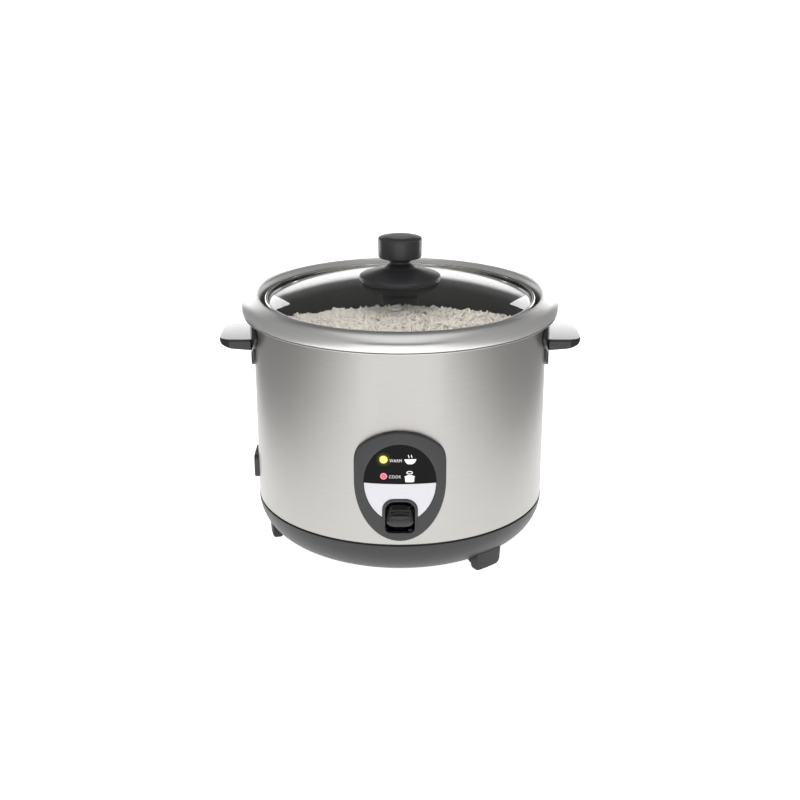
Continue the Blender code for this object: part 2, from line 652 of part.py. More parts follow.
def keep_warm_heater():
    """A thin heater band on the outside of the liner."""
    inner = LINER_RADIUS + GAP
    outer = inner + BAND_HEATER_WALL
    low, high = BAND_HEATER_HEIGHTS
    start, end = BAND_HEATER_AZIMUTHS
    steps = 12
    sections = []
    for i in range(steps + 1):
        azimuth = start + (end - start) * i / steps
        profile = [(inner, low), (outer, low), (outer, high), (inner, high)]
        sections.append([on_drum(r, azimuth, z) for r, z in profile])
    lofted("keep_warm_heater", sections, WHITE_PLASTIC)


# ---------------------------------------------------------------- thermostat
def sensor_cap():
    """The cap that the pot presses; its origin is on its sliding axis."""
    top = POT_BOTTOM - GAP
    bottom = top - CAP_HEIGHT
    turned("sensor_cap", [
        (0, top), (CAP_RADIUS - 0.001, top), (CAP_RADIUS, top - 0.001), (CAP_RADIUS, bottom),
        (CAP_RADIUS - CAP_WALL, bottom), (CAP_RADIUS - CAP_WALL, top - CAP_WALL),
        (0, top - CAP_WALL)], SPUN_ALUMINIUM, 24)


def sleeve_flange_top():
    return POT_BOTTOM - GAP - PLATE_THICKNESS - GAP


def sensor_sleeve():
    top = sleeve_flange_top()
    bottom = top - SLEEVE_LENGTH
    turned("sensor_sleeve", [
        (SLEEVE_BORE_RADIUS, bottom), (SLEEVE_RADIUS, bottom),
        (SLEEVE_RADIUS, top - SLEEVE_FLANGE_WALL),
        (SLEEVE_FLANGE_RADIUS, top - SLEEVE_FLANGE_WALL), (SLEEVE_FLANGE_RADIUS, top),
        (SLEEVE_BORE_RADIUS, top)], ZINC_STEEL, 24)


def sensor_spring():
    """A coil spring between the sleeve's flange and the cap."""
    margin = GAP + SPRING_WIRE_RADIUS
    low = sleeve_flange_top() + margin
    high = POT_BOTTOM - GAP - CAP_WALL - margin
    steps = 10 * SPRING_TURNS
    path = []
    for i in range(steps + 1):
        angle = 2 * pi * SPRING_TURNS * i / steps
        path.append((SPRING_RADIUS * cos(angle), SPRING_RADIUS * sin(angle),
                     low + (high - low) * i / steps))
    tube("sensor_spring", path, SPRING_WIRE_RADIUS, ZINC_STEEL)


def magnet_rod():
    """The rod that hangs on the lever's eye, with the holding magnet on top."""
    bottom_of_lever = PIVOT_HEIGHT - LEVER_WALL / 2
    top_of_lever = PIVOT_HEIGHT + LEVER_WALL / 2
    low = bottom_of_lever - 0.0008
    high = top_of_lever + 0.0011
    magnet_top = POT_BOTTOM - MAGNET_DROP
    magnet_bottom = magnet_top - MAGNET_HEIGHT
    turned("magnet_rod", [
        (0, low - 0.002), (ROD_COLLAR_RADIUS, low - 0.002), (ROD_COLLAR_RADIUS, low),
        (ROD_RADIUS, low), (ROD_RADIUS, high), (ROD_COLLAR_RADIUS, high),
        (ROD_COLLAR_RADIUS, high + 0.0012), (ROD_RADIUS, high + 0.0012),
        (ROD_RADIUS, magnet_bottom), (MAGNET_RADIUS, magnet_bottom), (MAGNET_RADIUS, magnet_top),
        (0, magnet_top)], ZINC_STEEL, SMALL_SEGMENTS)


# ---------------------------------------------------------------- switch lever and paddle
def origin_to(obj, place):
    """Move an object's origin and leave its mesh where it is."""
    place = Vector(place)
    for vert in obj.data.vertices:
        vert.co -= place
    obj.location = place


def pivot_place():
    return (0, -PIVOT_BACK, PIVOT_HEIGHT)


def lever_arm():
    low = PIVOT_HEIGHT - LEVER_WALL / 2
    high = low + LEVER_WALL
    half = LEVER_HALF_WIDTH
    lever = block("lever_arm", (-half, -LEVER_FRONT, low), (half, -0.004, high), ZINC_STEEL)
    join(lever, rod("eye", (0, 0, low), (0, 0, high), LEVER_EYE_RADIUS, segments=16))
    join(lever, block("tab", (-half, -LEVER_FRONT, low),
                      (half, LEVER_WALL - LEVER_FRONT, LEVER_TAB_TOP)))
    hub_half = BRACKET_HALF_GAP - GAP
    x, y, z = pivot_place()
    join(lever, rod("hub", (-hub_half, y, z), (hub_half, y, z), HUB_RADIUS, segments=16))
    carve(lever, rod("eye_hole", (0, 0, low - 0.001), (0, 0, high + 0.001),
                     LEVER_EYE_HOLE_RADIUS))
    carve(lever, rod("pin_hole", (-0.01, y, z), (0.01, y, z), PIN_RADIUS + PIN_CLEARANCE))
    origin_to(lever, pivot_place())


def pivot_pin():
    x, y, z = pivot_place()
    reach = BRACKET_HALF_GAP + BRACKET_WALL + 0.0015
    rod("pivot_pin", (-reach, y, z), (reach, y, z), PIN_RADIUS, ZINC_STEEL)


def lever_bracket():
    """A bent steel bracket under the liner that holds the pivot pin in its two ears."""
    top = LINER_BOTTOM - GAP
    low = PIVOT_HEIGHT - HUB_RADIUS - 0.001
    inner, outer = BRACKET_HALF_GAP, BRACKET_HALF_GAP + BRACKET_WALL
    outline = [(-outer, low), (-inner, low), (-inner, top - BRACKET_WALL),
               (inner, top - BRACKET_WALL), (inner, low), (outer, low), (outer, top),
               (-outer, top)]
    sections = []
    for y in (-PIVOT_BACK - BRACKET_HALF_LENGTH, -PIVOT_BACK + BRACKET_HALF_LENGTH):
        sections.append([(x, y, z) for x, z in outline])
    bracket = lofted("lever_bracket", sections, ZINC_STEEL)
    x, y, z = pivot_place()
    carve(bracket, rod("pin_hole", (-0.02, y, z), (0.02, y, z), PIN_RADIUS + PIN_CLEARANCE))


def micro_switch():
    """The switch that the lever works, under the liner behind the bracket."""
    top = LINER_BOTTOM - GAP
    back = -LINER_HOLE_RADIUS - 0.0015
    front = -PIVOT_BACK + BRACKET_HALF_LENGTH + 0.0015
    body = block("micro_switch", (-0.0045, front, top - 0.0075), (0.0045, back, top),
                 BLACK_PLASTIC)
    middle = (front + back) / 2
    join(body, block("plunger", (-0.0012, middle - 0.0015, top - 0.0095),
                     (0.0012, middle + 0.0015, top - 0.0070)))


def paddle_section(x):
    """The paddle's side outline at a distance from its middle, as (y, z) points."""
    share = abs(x) / PADDLE_HALF_WIDTH
    fall = 1 - sqrt(max(0.0, 1 - share ** 4))
    low = PADDLE_BOTTOM + 0.004 * fall
    high = PADDLE_TOP - 0.007 * fall
    nose = PADDLE_NOSE - 0.0025 * fall
    height = high - low
    return [(-PADDLE_BACK, low + 0.0008), (-nose + 0.0022, low), (-nose + 0.0004, low + 0.0020),
            (-nose, low + 0.0042), (-nose + 0.0012, low + 0.5 * height),
            (-nose + 0.0034, low + 0.8 * height), (-nose + 0.0052, high - 0.0004),
            (-PADDLE_BACK, high)]


def cook_paddle():
    half = PADDLE_HALF_WIDTH
    stations = [-half, -0.98 * half, -0.9 * half, -0.7 * half, -0.35 * half, 0,
                0.35 * half, 0.7 * half, 0.9 * half, 0.98 * half, half]
    sections = [[(x, y, z) for y, z in paddle_section(x)] for x in stations]
    paddle = lofted("cook_paddle", sections, BLACK_PLASTIC)
    stem_top = LEVER_TAB_TOP - 0.001
    join(paddle, block("stem", (-0.004, -PADDLE_BACK - 0.001, stem_top - 0.006),
                       (0.004, -LEVER_FRONT - GAP, stem_top)))
    origin_to(paddle, pivot_place())


# ---------------------------------------------------------------- control panel
def panel_outline():
    """Rounded below, upright at the sides and arched along the top."""
    lower = arc((0, PANEL_CENTRE), (PANEL_HALF_WIDTH, PANEL_DEPTH_BELOW), -90, 0, 9)
    arch_centre = PANEL_TOP - PANEL_TOP_RADIUS
    shoulder = degrees(acos(PANEL_SHOULDER * PANEL_HALF_WIDTH / PANEL_TOP_RADIUS))
    arch = arc((0, arch_centre), (PANEL_TOP_RADIUS, PANEL_TOP_RADIUS), shoulder, 90, 5)
    corner_low = Vector((PANEL_HALF_WIDTH, PANEL_CENTRE + 0.016))
    corner_high = Vector(arch[0])
    corner = Vector((PANEL_HALF_WIDTH, corner_high.y - 0.004))
    bend = []
    for t in (0, 0.35, 0.7):
        point = corner_low * (1 - t) ** 2 + corner * 2 * t * (1 - t) + corner_high * t * t
        bend.append(tuple(point))
    half = [(max(x, 0.0), z) for x, z in lower + bend + arch]
    half[0] = (0.0, half[0][1])
    half[-1] = (0.0, half[-1][1])
    return mirrored(half)


def label_outline(shrink=0.0):
    radii = (LABEL_HALF_WIDTH - shrink, LABEL_HALF_HEIGHT - shrink)
    return arc((0, LABEL_CENTRE), radii, -90, 270, 32)[:-1]


def switch_outline(half_width, bottom, top, corner):
    """Upright sides, rounded above and below."""
    low = arc((half_width - corner * 0.5, bottom + corner * 0.5), (corner * 0.5, corner * 0.5),
              -90, 0, 3)
    high = arc((half_width - corner, top - corner), (corner, corner), 0, 90, 4)
    return low + high + [(-x, z) for x, z in reversed(low + high)]


def switch_frame_outline(grow=0.0):
    return switch_outline(SWITCH_FRAME_HALF_WIDTH + grow, LABEL_CENTRE - LABEL_HALF_HEIGHT - 0.01,
                          SWITCH_FRAME_TOP + grow, SWITCH_CORNER + grow)


def panel_inner_radius():
    return SHELL_RADIUS + GAP


def panel_face():
    return panel_inner_radius() + PANEL_WALL


def pocket_floor():
    return panel_face() - LABEL_POCKET


def lamps():
    """Name, height and lens radius of the two lamps."""
    return (("warm_lamp", WARM_LAMP_HEIGHT, WARM_LENS_RADIUS),
            ("cook_lamp", COOK_LAMP_HEIGHT, COOK_LENS_RADIUS))


def lamp_azimuth():
    return degrees(LAMP_OFFSET / SHELL_RADIUS)


def lens_hole(height, radius):
    return rod("lens_hole", on_drum(SHELL_RADIUS - 0.008, lamp_azimuth(), height),
               on_drum(panel_face() + 0.003, lamp_azimuth(), height), radius + GAP, segments=16)


def control_bezel():
    inner, face = panel_inner_radius(), panel_face()
    bezel = flat_plate("control_bezel", panel_outline(), inner, face, CHARCOAL_PLASTIC,
                       PANEL_CHAMFER)
    pocket = flat_plate("pocket", label_outline(), pocket_floor(), face + 0.002)
    carve(pocket, flat_plate("frame", switch_frame_outline(), inner, face + 0.004))
    carve(bezel, pocket)
    window = switch_outline(SWITCH_WINDOW_HALF_WIDTH, SWITCH_WINDOW_BOTTOM, SWITCH_WINDOW_TOP,
                            SWITCH_CORNER * 0.85)
    carve(bezel, flat_plate("window", window, inner - 0.002, face + 0.002))
    wrap_on_drum(bezel)
    for _, height, radius in lamps():
        carve(bezel, lens_hole(height, radius))


def label_plates():
    """The printed plates in the pocket: a black one above and a silver one below."""
    inner = pocket_floor() + GAP
    outer = inner + LABEL_WALL
    split = LABEL_CENTRE
    side = LABEL_HALF_WIDTH + 0.005
    upper = flat_plate("label_plate_upper", label_outline(GAP), inner, outer, BLACK_PLASTIC)
    carve(upper, block("below", (-side, -outer - 0.001, split - 0.05),
                       (side, -inner + 0.001, split + GAP / 2)))
    wrap_on_drum(upper)
    for _, height, radius in lamps():
        carve(upper, lens_hole(height, radius))
    lower = flat_plate("label_plate_lower", label_outline(GAP), inner, outer, SILVER_PRINT)
    carve(lower, block("above", (-side, -outer - 0.001, split - GAP / 2),
                       (side, -inner + 0.001, split + 0.05)))
    frame = flat_plate("frame", switch_frame_outline(GAP), inner - 0.001, outer + 0.001)
    carve(lower, frame)
    wrap_on_drum(lower)


def lenses_and_lamps():
    direction = outward(lamp_azimuth())
    for name, height, radius in lamps():
        foot_radius = panel_inner_radius() + GAP
        length = panel_face() + LENS_PROUD - foot_radius
        finish = AMBER_LENS if name == "warm_lamp" else RED_LENS
        lens = turned(name + "_lens", [(0, 0), (radius, 0), (radius, length - 0.0006),
                                       (radius * 0.75, length), (0, length + 0.0002)], finish, 16)
        aim(lens, on_drum(foot_radius, lamp_azimuth(), height), direction)
        rod(name, on_drum(LAMP_INNER_RADIUS, lamp_azimuth(), height),
            on_drum(foot_radius - GAP, lamp_azimuth(), height), LAMP_RADIUS, CLEAR_GLASS)


def lamp_holder():
    """A small plate behind the shell that holds both lamps."""
    inner, outer = LAMP_INNER_RADIUS + 0.0008, LAMP_INNER_RADIUS + 0.0022
    side = LAMP_RADIUS + 0.0035
    low, high = COOK_LAMP_HEIGHT - side, WARM_LAMP_HEIGHT + side
    left, right = LAMP_OFFSET - side, LAMP_OFFSET + side
    outline = [(left, low), (right, low), (right, high), (left, high)]
    holder = flat_plate("lamp_holder", outline, inner, outer, WHITE_PLASTIC)
    wrap_on_drum(holder)
    for _, height, _ in lamps():
        carve(holder, rod("lamp_hole", on_drum(inner - 0.003, lamp_azimuth(), height),
                          on_drum(outer + 0.003, lamp_azimuth(), height), LAMP_RADIUS + GAP))


# ---------------------------------------------------------------- handles
def handle_plate_outline():
    """The shield-shaped plate against the drum, from its lowest point up."""
    low, top = HANDLE_PLATE_BOTTOM, HANDLE_PLATE_TOP
    waist = HANDLE_HALF_WIDTH - 0.0015
    ear = HANDLE_HALF_WIDTH + 0.015
    half = [(0.0, low), (0.016, low), (0.022, low + 0.003), (0.024, low + 0.008),
            (waist, low + 0.015), (waist + 0.0075, low + 0.020), (ear - 0.0025, low + 0.025),
            (ear, low + 0.0305), (ear - 0.0025, low + 0.037), (ear - 0.007, low + 0.042),
            (ear - 0.009, top), (0.0, top)]
    return mirrored(half)


def grip_section(reach, half_width, bottom):
    """A cross-section of the grip with small round corners, at a distance from the axis."""
    corner = 0.0012
    points = arc((half_width - corner, bottom + corner), (corner, corner), -90, 0, 2)
    points += arc((half_width - corner, HANDLE_TOP - corner), (corner, corner), 0, 90, 2)
    points += [(-x, z) for x, z in reversed(points)]
    return [(x, -reach, z) for x, z in points]


def handle(name, azimuth):
    """Grip and mounting plate in one moulding, built at the front and turned to its side."""
    piece = flat_plate(name, handle_plate_outline(), SHELL_RADIUS + GAP,
                       SHELL_RADIUS + GAP + HANDLE_PLATE_WALL, BLACK_PLASTIC, 0.001)
    wrap_on_drum(piece)
    root = SHELL_RADIUS + GAP + 0.0008
    end, width, top = HANDLE_REACH, HANDLE_HALF_WIDTH, HANDLE_TOP
    stations = [(root, width, top - 0.0102), (end - 0.0120, width, top - 0.0088),
                (end - 0.0068, width - 0.0008, top - 0.0076),
                (end - 0.0032, width - 0.0031, top - 0.0060),
                (end - 0.0010, width - 0.0062, top - 0.0042), (end, width - 0.0100, top - 0.0026)]
    grip = lofted("grip", [grip_section(*station) for station in stations])
    carve(grip, drum_cutter(HANDLE_PLATE_BOTTOM, HANDLE_PLATE_TOP))
    join(piece, grip)
    for x in (-HANDLE_SCREW_SPREAD, HANDLE_SCREW_SPREAD):
        carve(piece, rod("screw_hole", (x, -SHELL_RADIUS + 0.005, HANDLE_SCREW_HEIGHT),
                         (x, -SHELL_RADIUS - 0.0125, HANDLE_SCREW_HEIGHT), SCREW_HOLE_RADIUS))
    piece.rotation_euler.z = radians(azimuth)


def handle_screws():
    """Two screws a side, put in from inside the shell."""
    edge = HANDLE_SCREW_SPREAD + SCREW_HEAD_RADIUS
    inside = (SHELL_RADIUS - SHELL_WALL) * cos(pi / SEGMENTS)
    seat = sqrt(inside ** 2 - edge ** 2) - GAP
    for side, word in ((-1, "left"), (1, "right")):
        for y, place in ((-HANDLE_SCREW_SPREAD, "front"), (HANDLE_SCREW_SPREAD, "rear")):
            screw(f"handle_screw_{word}_{place}", (side * seat, y, HANDLE_SCREW_HEIGHT),
                  (side, 0, 0), 0.0125)


# ---------------------------------------------------------------- lid
def dome_height(radius, below=0.0):
    """Height of the glass at a distance from the axis, on a sphere parallel to its top."""
    ball = GLASS_SPHERE_RADIUS - below
    return GLASS_APEX - GLASS_SPHERE_RADIUS + sqrt(ball * ball - radius * radius)


def lid_glass():
    steps = ceil(GLASS_EDGE_RADIUS / 0.025)
    stations = [GLASS_EDGE_RADIUS * i / steps for i in range(steps + 1)]
    profile = [(r, dome_height(r)) for r in stations]
    profile += [(r, dome_height(r, GLASS_WALL)) for r in reversed(stations)]
    glass = turned("lid_glass", profile, CLEAR_GLASS)
    carve(glass, rod("screw_hole", (0, 0, GLASS_APEX - 0.01), (0, 0, GLASS_APEX + 0.01),
                     SCREW_RADIUS + 0.0006))
    centre, normal = eyelet_seat()
    carve(glass, rod("eyelet_hole", centre - normal * 0.01, centre + normal * 0.01,
                     EYELET_TUBE_RADIUS + GAP, segments=16))


def lid_band():
    """A steel channel round the glass: a curled lip above and a flat seat below."""
    seat = POT_FLANGE_TOP + GAP
    inner = BAND_RADIUS - BAND_WALL
    lip_end = dome_height(BAND_LIP_RADIUS) + GAP * 1.5
    curl = BAND_TOP - BAND_WALL
    turned("lid_band", [
        (BAND_SEAT_RADIUS, seat), (BAND_RADIUS, seat), (BAND_RADIUS, BAND_TOP - 0.0008),
        (BAND_RADIUS - 0.0012, BAND_TOP), (BAND_LIP_RADIUS + 0.0002, BAND_TOP - 0.0006),
        (BAND_LIP_RADIUS, lip_end), (BAND_LIP_RADIUS + 0.0009, lip_end),
        (BAND_LIP_RADIUS + 0.0011, curl - 0.0007), (inner, curl - 0.0006),
        (inner, seat + BAND_WALL), (BAND_SEAT_RADIUS, seat + BAND_WALL)], SPUN_ALUMINIUM)


def lid_knob():
    """Flange, waist and grip in one moulding, with a blind bore for the screw."""
    bore = SCREW_RADIUS + GAP
    under = GLASS_APEX + GAP
    rim_under = dome_height(KNOB_FLANGE_RADIUS) + GAP * 1.5
    middle = KNOB_FLANGE_RADIUS * 0.5
    flange_top, neck_top = GLASS_APEX + KNOB_FLANGE_TOP, GLASS_APEX + KNOB_NECK_TOP
    grip_bottom, grip_top = GLASS_APEX + KNOB_GRIP_BOTTOM, GLASS_APEX + KNOB_GRIP_TOP
    turned("lid_knob", [
        (0, under + KNOB_BORE_DEPTH), (bore, under + KNOB_BORE_DEPTH), (bore, under),
        (middle, dome_height(middle) + GAP * 1.5),
        (KNOB_FLANGE_RADIUS, rim_under), (KNOB_FLANGE_RADIUS, flange_top - 0.0008),
        (KNOB_FLANGE_RADIUS - 0.0010, flange_top)]
        + [(radius, GLASS_APEX + height) for radius, height in KNOB_FLARE] + [
        (KNOB_NECK_RADIUS + 0.0012, neck_top - 0.0022), (KNOB_NECK_RADIUS, neck_top),
        (KNOB_NECK_RADIUS + 0.0016, grip_bottom - 0.0016),
        (KNOB_GRIP_RADIUS - 0.0016, grip_bottom), (KNOB_GRIP_RADIUS - 0.0006, grip_bottom + 0.0014),
        (KNOB_GRIP_RADIUS, grip_top - 0.0012), (KNOB_GRIP_RADIUS - 0.0014, grip_top),
        (0, GLASS_APEX + KNOB_CROWN_TOP)], BLACK_PLASTIC, 32)


def knob_washer_top():
    return dome_height(WASHER_RADIUS, GLASS_WALL) - GAP


def knob_washer():
    top = knob_washer_top()
    hole = SCREW_RADIUS + GAP
    turned("knob_washer", [(hole, top - WASHER_WALL), (WASHER_RADIUS, top - WASHER_WALL),
                           (WASHER_RADIUS, top), (hole, top)], SPUN_ALUMINIUM, 24)


def knob_screw():
    place = (0, 0, knob_washer_top() - WASHER_WALL - GAP)
    length = GLASS_APEX + GAP + KNOB_BORE_DEPTH - place[2] - 0.001
    screw("knob_screw", place, (0, 0, 1), length)


def eyelet_seat():
    """The eyelet's place on the dome's outside, and the outward normal there."""
    x, y = EYELET_PLACE
    centre = Vector((x, y, dome_height(sqrt(x * x + y * y))))
    normal = (centre - Vector((0, 0, GLASS_APEX - GLASS_SPHERE_RADIUS))).normalized()
    return centre, normal


def vent_eyelet():
    """A riveted ring through the glass that lets the steam out."""
    hole, tube_radius, flange = EYELET_HOLE_RADIUS, EYELET_TUBE_RADIUS, EYELET_FLANGE_RADIUS
    above, below = GAP, -GLASS_WALL - GAP
    ring = turned("vent_eyelet", [
        (hole, below - EYELET_LIP), (flange, below - EYELET_LIP), (flange, below),
        (tube_radius, below), (tube_radius, above), (flange, above),
        (flange - 0.0005, above + EYELET_LIP), (hole, above + EYELET_LIP)], SPUN_ALUMINIUM, 16)
    aim(ring, *eyelet_seat())


# ---------------------------------------------------------------- power inlet and wiring
def inlet_housing():
    """A flanged socket at the side: the flange's back follows the drum."""
    half_y, half_z = INLET_FLANGE_HALF
    corner = 0.005
    outline = arc((half_y - corner, -half_z + corner), (corner, corner), -90, 0, 3)
    outline += arc((half_y - corner, half_z - corner), (corner, corner), 0, 90, 3)
    outline += [(-y, z) for y, z in reversed(outline)]
    outline = [(y, z + INLET_HEIGHT) for y, z in outline]
    low = SHELL_RADIUS - 0.008
    sections = [[(-x, y, z) for y, z in shape] for x, shape in
                ((low, outline), (INLET_FACE - 0.001, outline),
                 (INLET_FACE, inset(outline, 0.001)))]
    inlet = lofted("inlet_housing", sections, BLACK_PLASTIC)
    carve(inlet, drum_cutter(INLET_HEIGHT - 0.03, INLET_HEIGHT + 0.03))
    half_y, half_z = INLET_BODY_HALF
    join(inlet, block("body", (-INLET_FACE + 0.001, -half_y, INLET_HEIGHT - half_z),
                      (-INLET_BACK, half_y, INLET_HEIGHT + half_z)))
    half_y, half_z = INLET_CAVITY_HALF
    carve(inlet, block("cavity", (-INLET_FACE - 0.001, -half_y, INLET_HEIGHT - half_z),
                       (-INLET_BACK - INLET_BACK_WALL, half_y, INLET_HEIGHT + half_z)))
    for y, z in PIN_PLACES.values():
        low_corner, high_corner = pin_corners(y, z, GAP)
        carve(inlet, block("pin_slot", (-INLET_BACK - 0.01, *low_corner),
                           (-INLET_BACK + 0.01, *high_corner)))


def pin_corners(y, z, grow=0.0):
    """The (y, z) corners of one inlet pin."""
    half_y, half_z = (size + grow for size in PIN_HALF)
    z = z + INLET_HEIGHT
    return (y - half_y, z - half_z), (y + half_y, z + half_z)


def inlet_pins():
    for name, (y, z) in PIN_PLACES.items():
        low, high = pin_corners(y, z)
        block(name, (-PIN_TIP, *low), (-PIN_TAIL, *high), BRASS)


def terminal_block():
    x, y = BLOCK_CENTRE
    top = LINER_BOTTOM - GAP
    block("terminal_block", (x - BLOCK_HALF[0], y - BLOCK_HALF[1], top - BLOCK_HEIGHT),
          (x + BLOCK_HALF[0], y + BLOCK_HALF[1], top), WHITE_PLASTIC)


def wires():
    """Inlet to terminal block, block to element, and the earth wire to the liner."""
    block_left = BLOCK_CENTRE[0] - BLOCK_HALF[0] - GAP * 2
    block_right = BLOCK_CENTRE[0] + BLOCK_HALF[0] + GAP * 2
    entry = LINER_BOTTOM - BLOCK_HEIGHT / 2
    tail = -PIN_TAIL + GAP * 2
    for name, end_y, sag in (("inlet_pin_line", BLOCK_CENTRE[1] - 0.004, 0.008),
                             ("inlet_pin_neutral", BLOCK_CENTRE[1] + 0.004, 0.003)):
        y, z = PIN_PLACES[name]
        z += INLET_HEIGHT
        path = smooth_path([(tail, y, z), (tail + 0.005, y, z),
                            (tail + 0.012, y + (end_y - y) * 0.35, z - sag),
                            (block_left - 0.010, y + (end_y - y) * 0.8, entry - sag * 0.4),
                            (block_left, end_y, entry)])
        tube(name.replace("inlet_pin", "wire"), path, WIRE_RADIUS, WIRE_COVER)
    y, z = PIN_PLACES["inlet_pin_earth"]
    z += INLET_HEIGHT
    slope = (LINER_RADIUS - LINER_FLAT_RADIUS) / (LINER_CONE_TOP - LINER_BOTTOM)
    liner_radius = LINER_FLAT_RADIUS + (z + WIRE_RADIUS - LINER_BOTTOM) * slope
    tube("wire_earth", [(tail, y, z), (-liner_radius - GAP, y, z)], WIRE_RADIUS, WIRE_COVER)
    end = TERMINAL_BOTTOM - GAP
    for name, side, start_y in (("wire_element_near", -1, BLOCK_CENTRE[1] - 0.005),
                                ("wire_element_far", 1, BLOCK_CENTRE[1] + 0.003)):
        end_y = side * 0.010
        path = smooth_path([(block_right, start_y, entry), (block_right + 0.009, start_y, entry),
                            (-TERMINAL_PLACE - 0.004 * side, (start_y + end_y) / 2, end - 0.012),
                            (-TERMINAL_PLACE, end_y, end - 0.007), (-TERMINAL_PLACE, end_y, end)])
        tube(name, path, WIRE_RADIUS, WIRE_COVER)


def posts_and_base_screws():
    """Posts under the liner, and the screws that hold the base on them."""
    low = BASE_BOTTOM + BASE_WALL + GAP
    high = LINER_BOTTOM - GAP
    bore = SCREW_RADIUS + GAP
    for number, azimuth in enumerate(MOUNT_AZIMUTHS, 1):
        post = turned(f"base_post_{number}", [
            (0, high), (POST_RADIUS, high), (POST_RADIUS, low), (bore, low), (bore, low + 0.010),
            (0, low + 0.010)], ZINC_STEEL, SMALL_SEGMENTS)
        post.location = on_drum(POST_PLACE, azimuth, 0)
        screw(f"base_screw_{number}", on_drum(POST_PLACE, azimuth, BASE_BOTTOM - GAP), (0, 0, 1),
              0.011)


# ---------------------------------------------------------------- the whole object
def build():
    clear_scene()
    outer_shell()
    base_housing()
    for name, azimuth in FOOT_AZIMUTHS.items():
        foot(name, azimuth)
    top_rim()
    inner_liner()
    inner_pot()
    hot_plate()
    hot_plate_screws()
    heating_element()
    thermal_fuse()
    keep_warm_heater()
    sensor_cap()
    sensor_sleeve()
    sensor_spring()
    magnet_rod()
    lever_arm()
    pivot_pin()
    lever_bracket()
    micro_switch()
    cook_paddle()
    control_bezel()
    label_plates()
    lenses_and_lamps()
    lamp_holder()
    handle("handle_right", 90)
    handle("handle_left", -90)
    handle_screws()
    lid_glass()
    lid_band()
    lid_knob()
    knob_washer()
    knob_screw()
    vent_eyelet()
    inlet_housing()
    inlet_pins()
    terminal_block()
    wires()
    posts_and_base_screws()


build()
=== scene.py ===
# %% [markdown]
# # A drum rice cooker in fine detail
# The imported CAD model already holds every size, joint and hidden part. This lesson loads it as
# a fixed frame and then builds the surfaces that the eye sees: turned steel and aluminium, the
# glass lid, moulded plastic, printed plates and a pot full of rice. Lengths are in metres, +Z
# is up and -Y is the side with the control panel.

from math import acos, cos, degrees, pi, radians, sin, sqrt, tan

import bmesh
import bpy
from mathutils import Matrix, Vector, noise


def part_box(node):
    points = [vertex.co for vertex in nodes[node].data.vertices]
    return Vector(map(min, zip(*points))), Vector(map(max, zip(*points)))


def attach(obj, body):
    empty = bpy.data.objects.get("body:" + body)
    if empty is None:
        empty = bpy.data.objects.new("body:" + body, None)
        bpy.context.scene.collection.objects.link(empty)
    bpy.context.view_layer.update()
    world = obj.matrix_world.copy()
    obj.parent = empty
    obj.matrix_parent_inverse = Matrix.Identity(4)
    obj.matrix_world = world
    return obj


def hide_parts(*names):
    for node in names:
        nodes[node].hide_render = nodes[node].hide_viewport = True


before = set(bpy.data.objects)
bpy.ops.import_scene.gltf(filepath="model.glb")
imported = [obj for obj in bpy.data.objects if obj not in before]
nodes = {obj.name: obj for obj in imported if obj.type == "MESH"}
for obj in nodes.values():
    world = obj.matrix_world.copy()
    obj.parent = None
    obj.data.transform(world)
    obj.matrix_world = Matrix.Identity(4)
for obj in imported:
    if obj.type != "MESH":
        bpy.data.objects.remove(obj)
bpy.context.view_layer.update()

# %% [markdown]
# ## Sizes that several pieces share
# The boxes of the CAD nodes say where things are. A few radii can't be read from a box, because
# a flange or a lip reaches past them, so they are named here once.

# %% Shared sizes
MM = 0.001
DRUM_RADIUS = 132.5 * MM
shell_low, shell_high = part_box("outer_shell")
rim_low, rim_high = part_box("top_rim")
pot_low, pot_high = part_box("inner_pot")
glass_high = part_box("lid_glass")[1]
print("drum from", round(shell_low.z / MM, 1), "to", round(shell_high.z / MM, 1), "mm")

# %% [markdown]
# ## The camera
# A long lens from a little above the lid, the way a shop shows a pot: the drum's sides stay
# nearly upright and the rice can be seen through the glass.

# %% Camera
camera = bpy.data.objects.new("camera", bpy.data.cameras.new("camera"))
camera.data.lens = 57.93
camera.data.clip_end = 200
camera.location = (0, -1.1275, 0.5297)
camera.rotation_euler = (radians(90 - 19.71), 0, 0)
bpy.context.collection.objects.link(camera)
bpy.context.scene.camera = camera

# %% [markdown]
# ## Finishes
# Each material is named for what the real one is. Colours are written as the hex values seen on
# a screen, and one function turns them to the linear numbers that the renderer works in.

# %% Colour and node helpers
def srgb(code):
    """A "#rrggbb" colour as linear red, green, blue and alpha."""
    channels = [int(code[i:i + 2], 16) / 255 for i in (1, 3, 5)]
    return tuple(c / 12.92 if c <= 0.04045 else ((c + 0.055) / 1.055) ** 2.4
                 for c in channels) + (1.0,)


def add(tree, kind, inputs=None, **settings):
    """Add a node, set it up, and give each named input a value or a link."""
    node = tree.nodes.new(kind)
    for key, value in settings.items():
        setattr(node, key, value)
    for socket, source in (inputs or {}).items():
        if isinstance(source, bpy.types.NodeSocket):
            tree.links.new(source, node.inputs[socket])
        else:
            node.inputs[socket].default_value = source
    return node


def finish(name, colour, roughness, metallic=0.0, **sockets):
    """A Principled material; further sockets are given by name, with _ for a space."""
    made = bpy.data.materials.new(name)
    made.use_nodes = True
    inputs = made.node_tree.nodes["Principled BSDF"].inputs
    inputs["Base Color"].default_value = srgb(colour)
    inputs["Roughness"].default_value = roughness
    inputs["Metallic"].default_value = metallic
    for socket, value in sockets.items():
        inputs[socket.replace("_", " ")].default_value = value
    return made


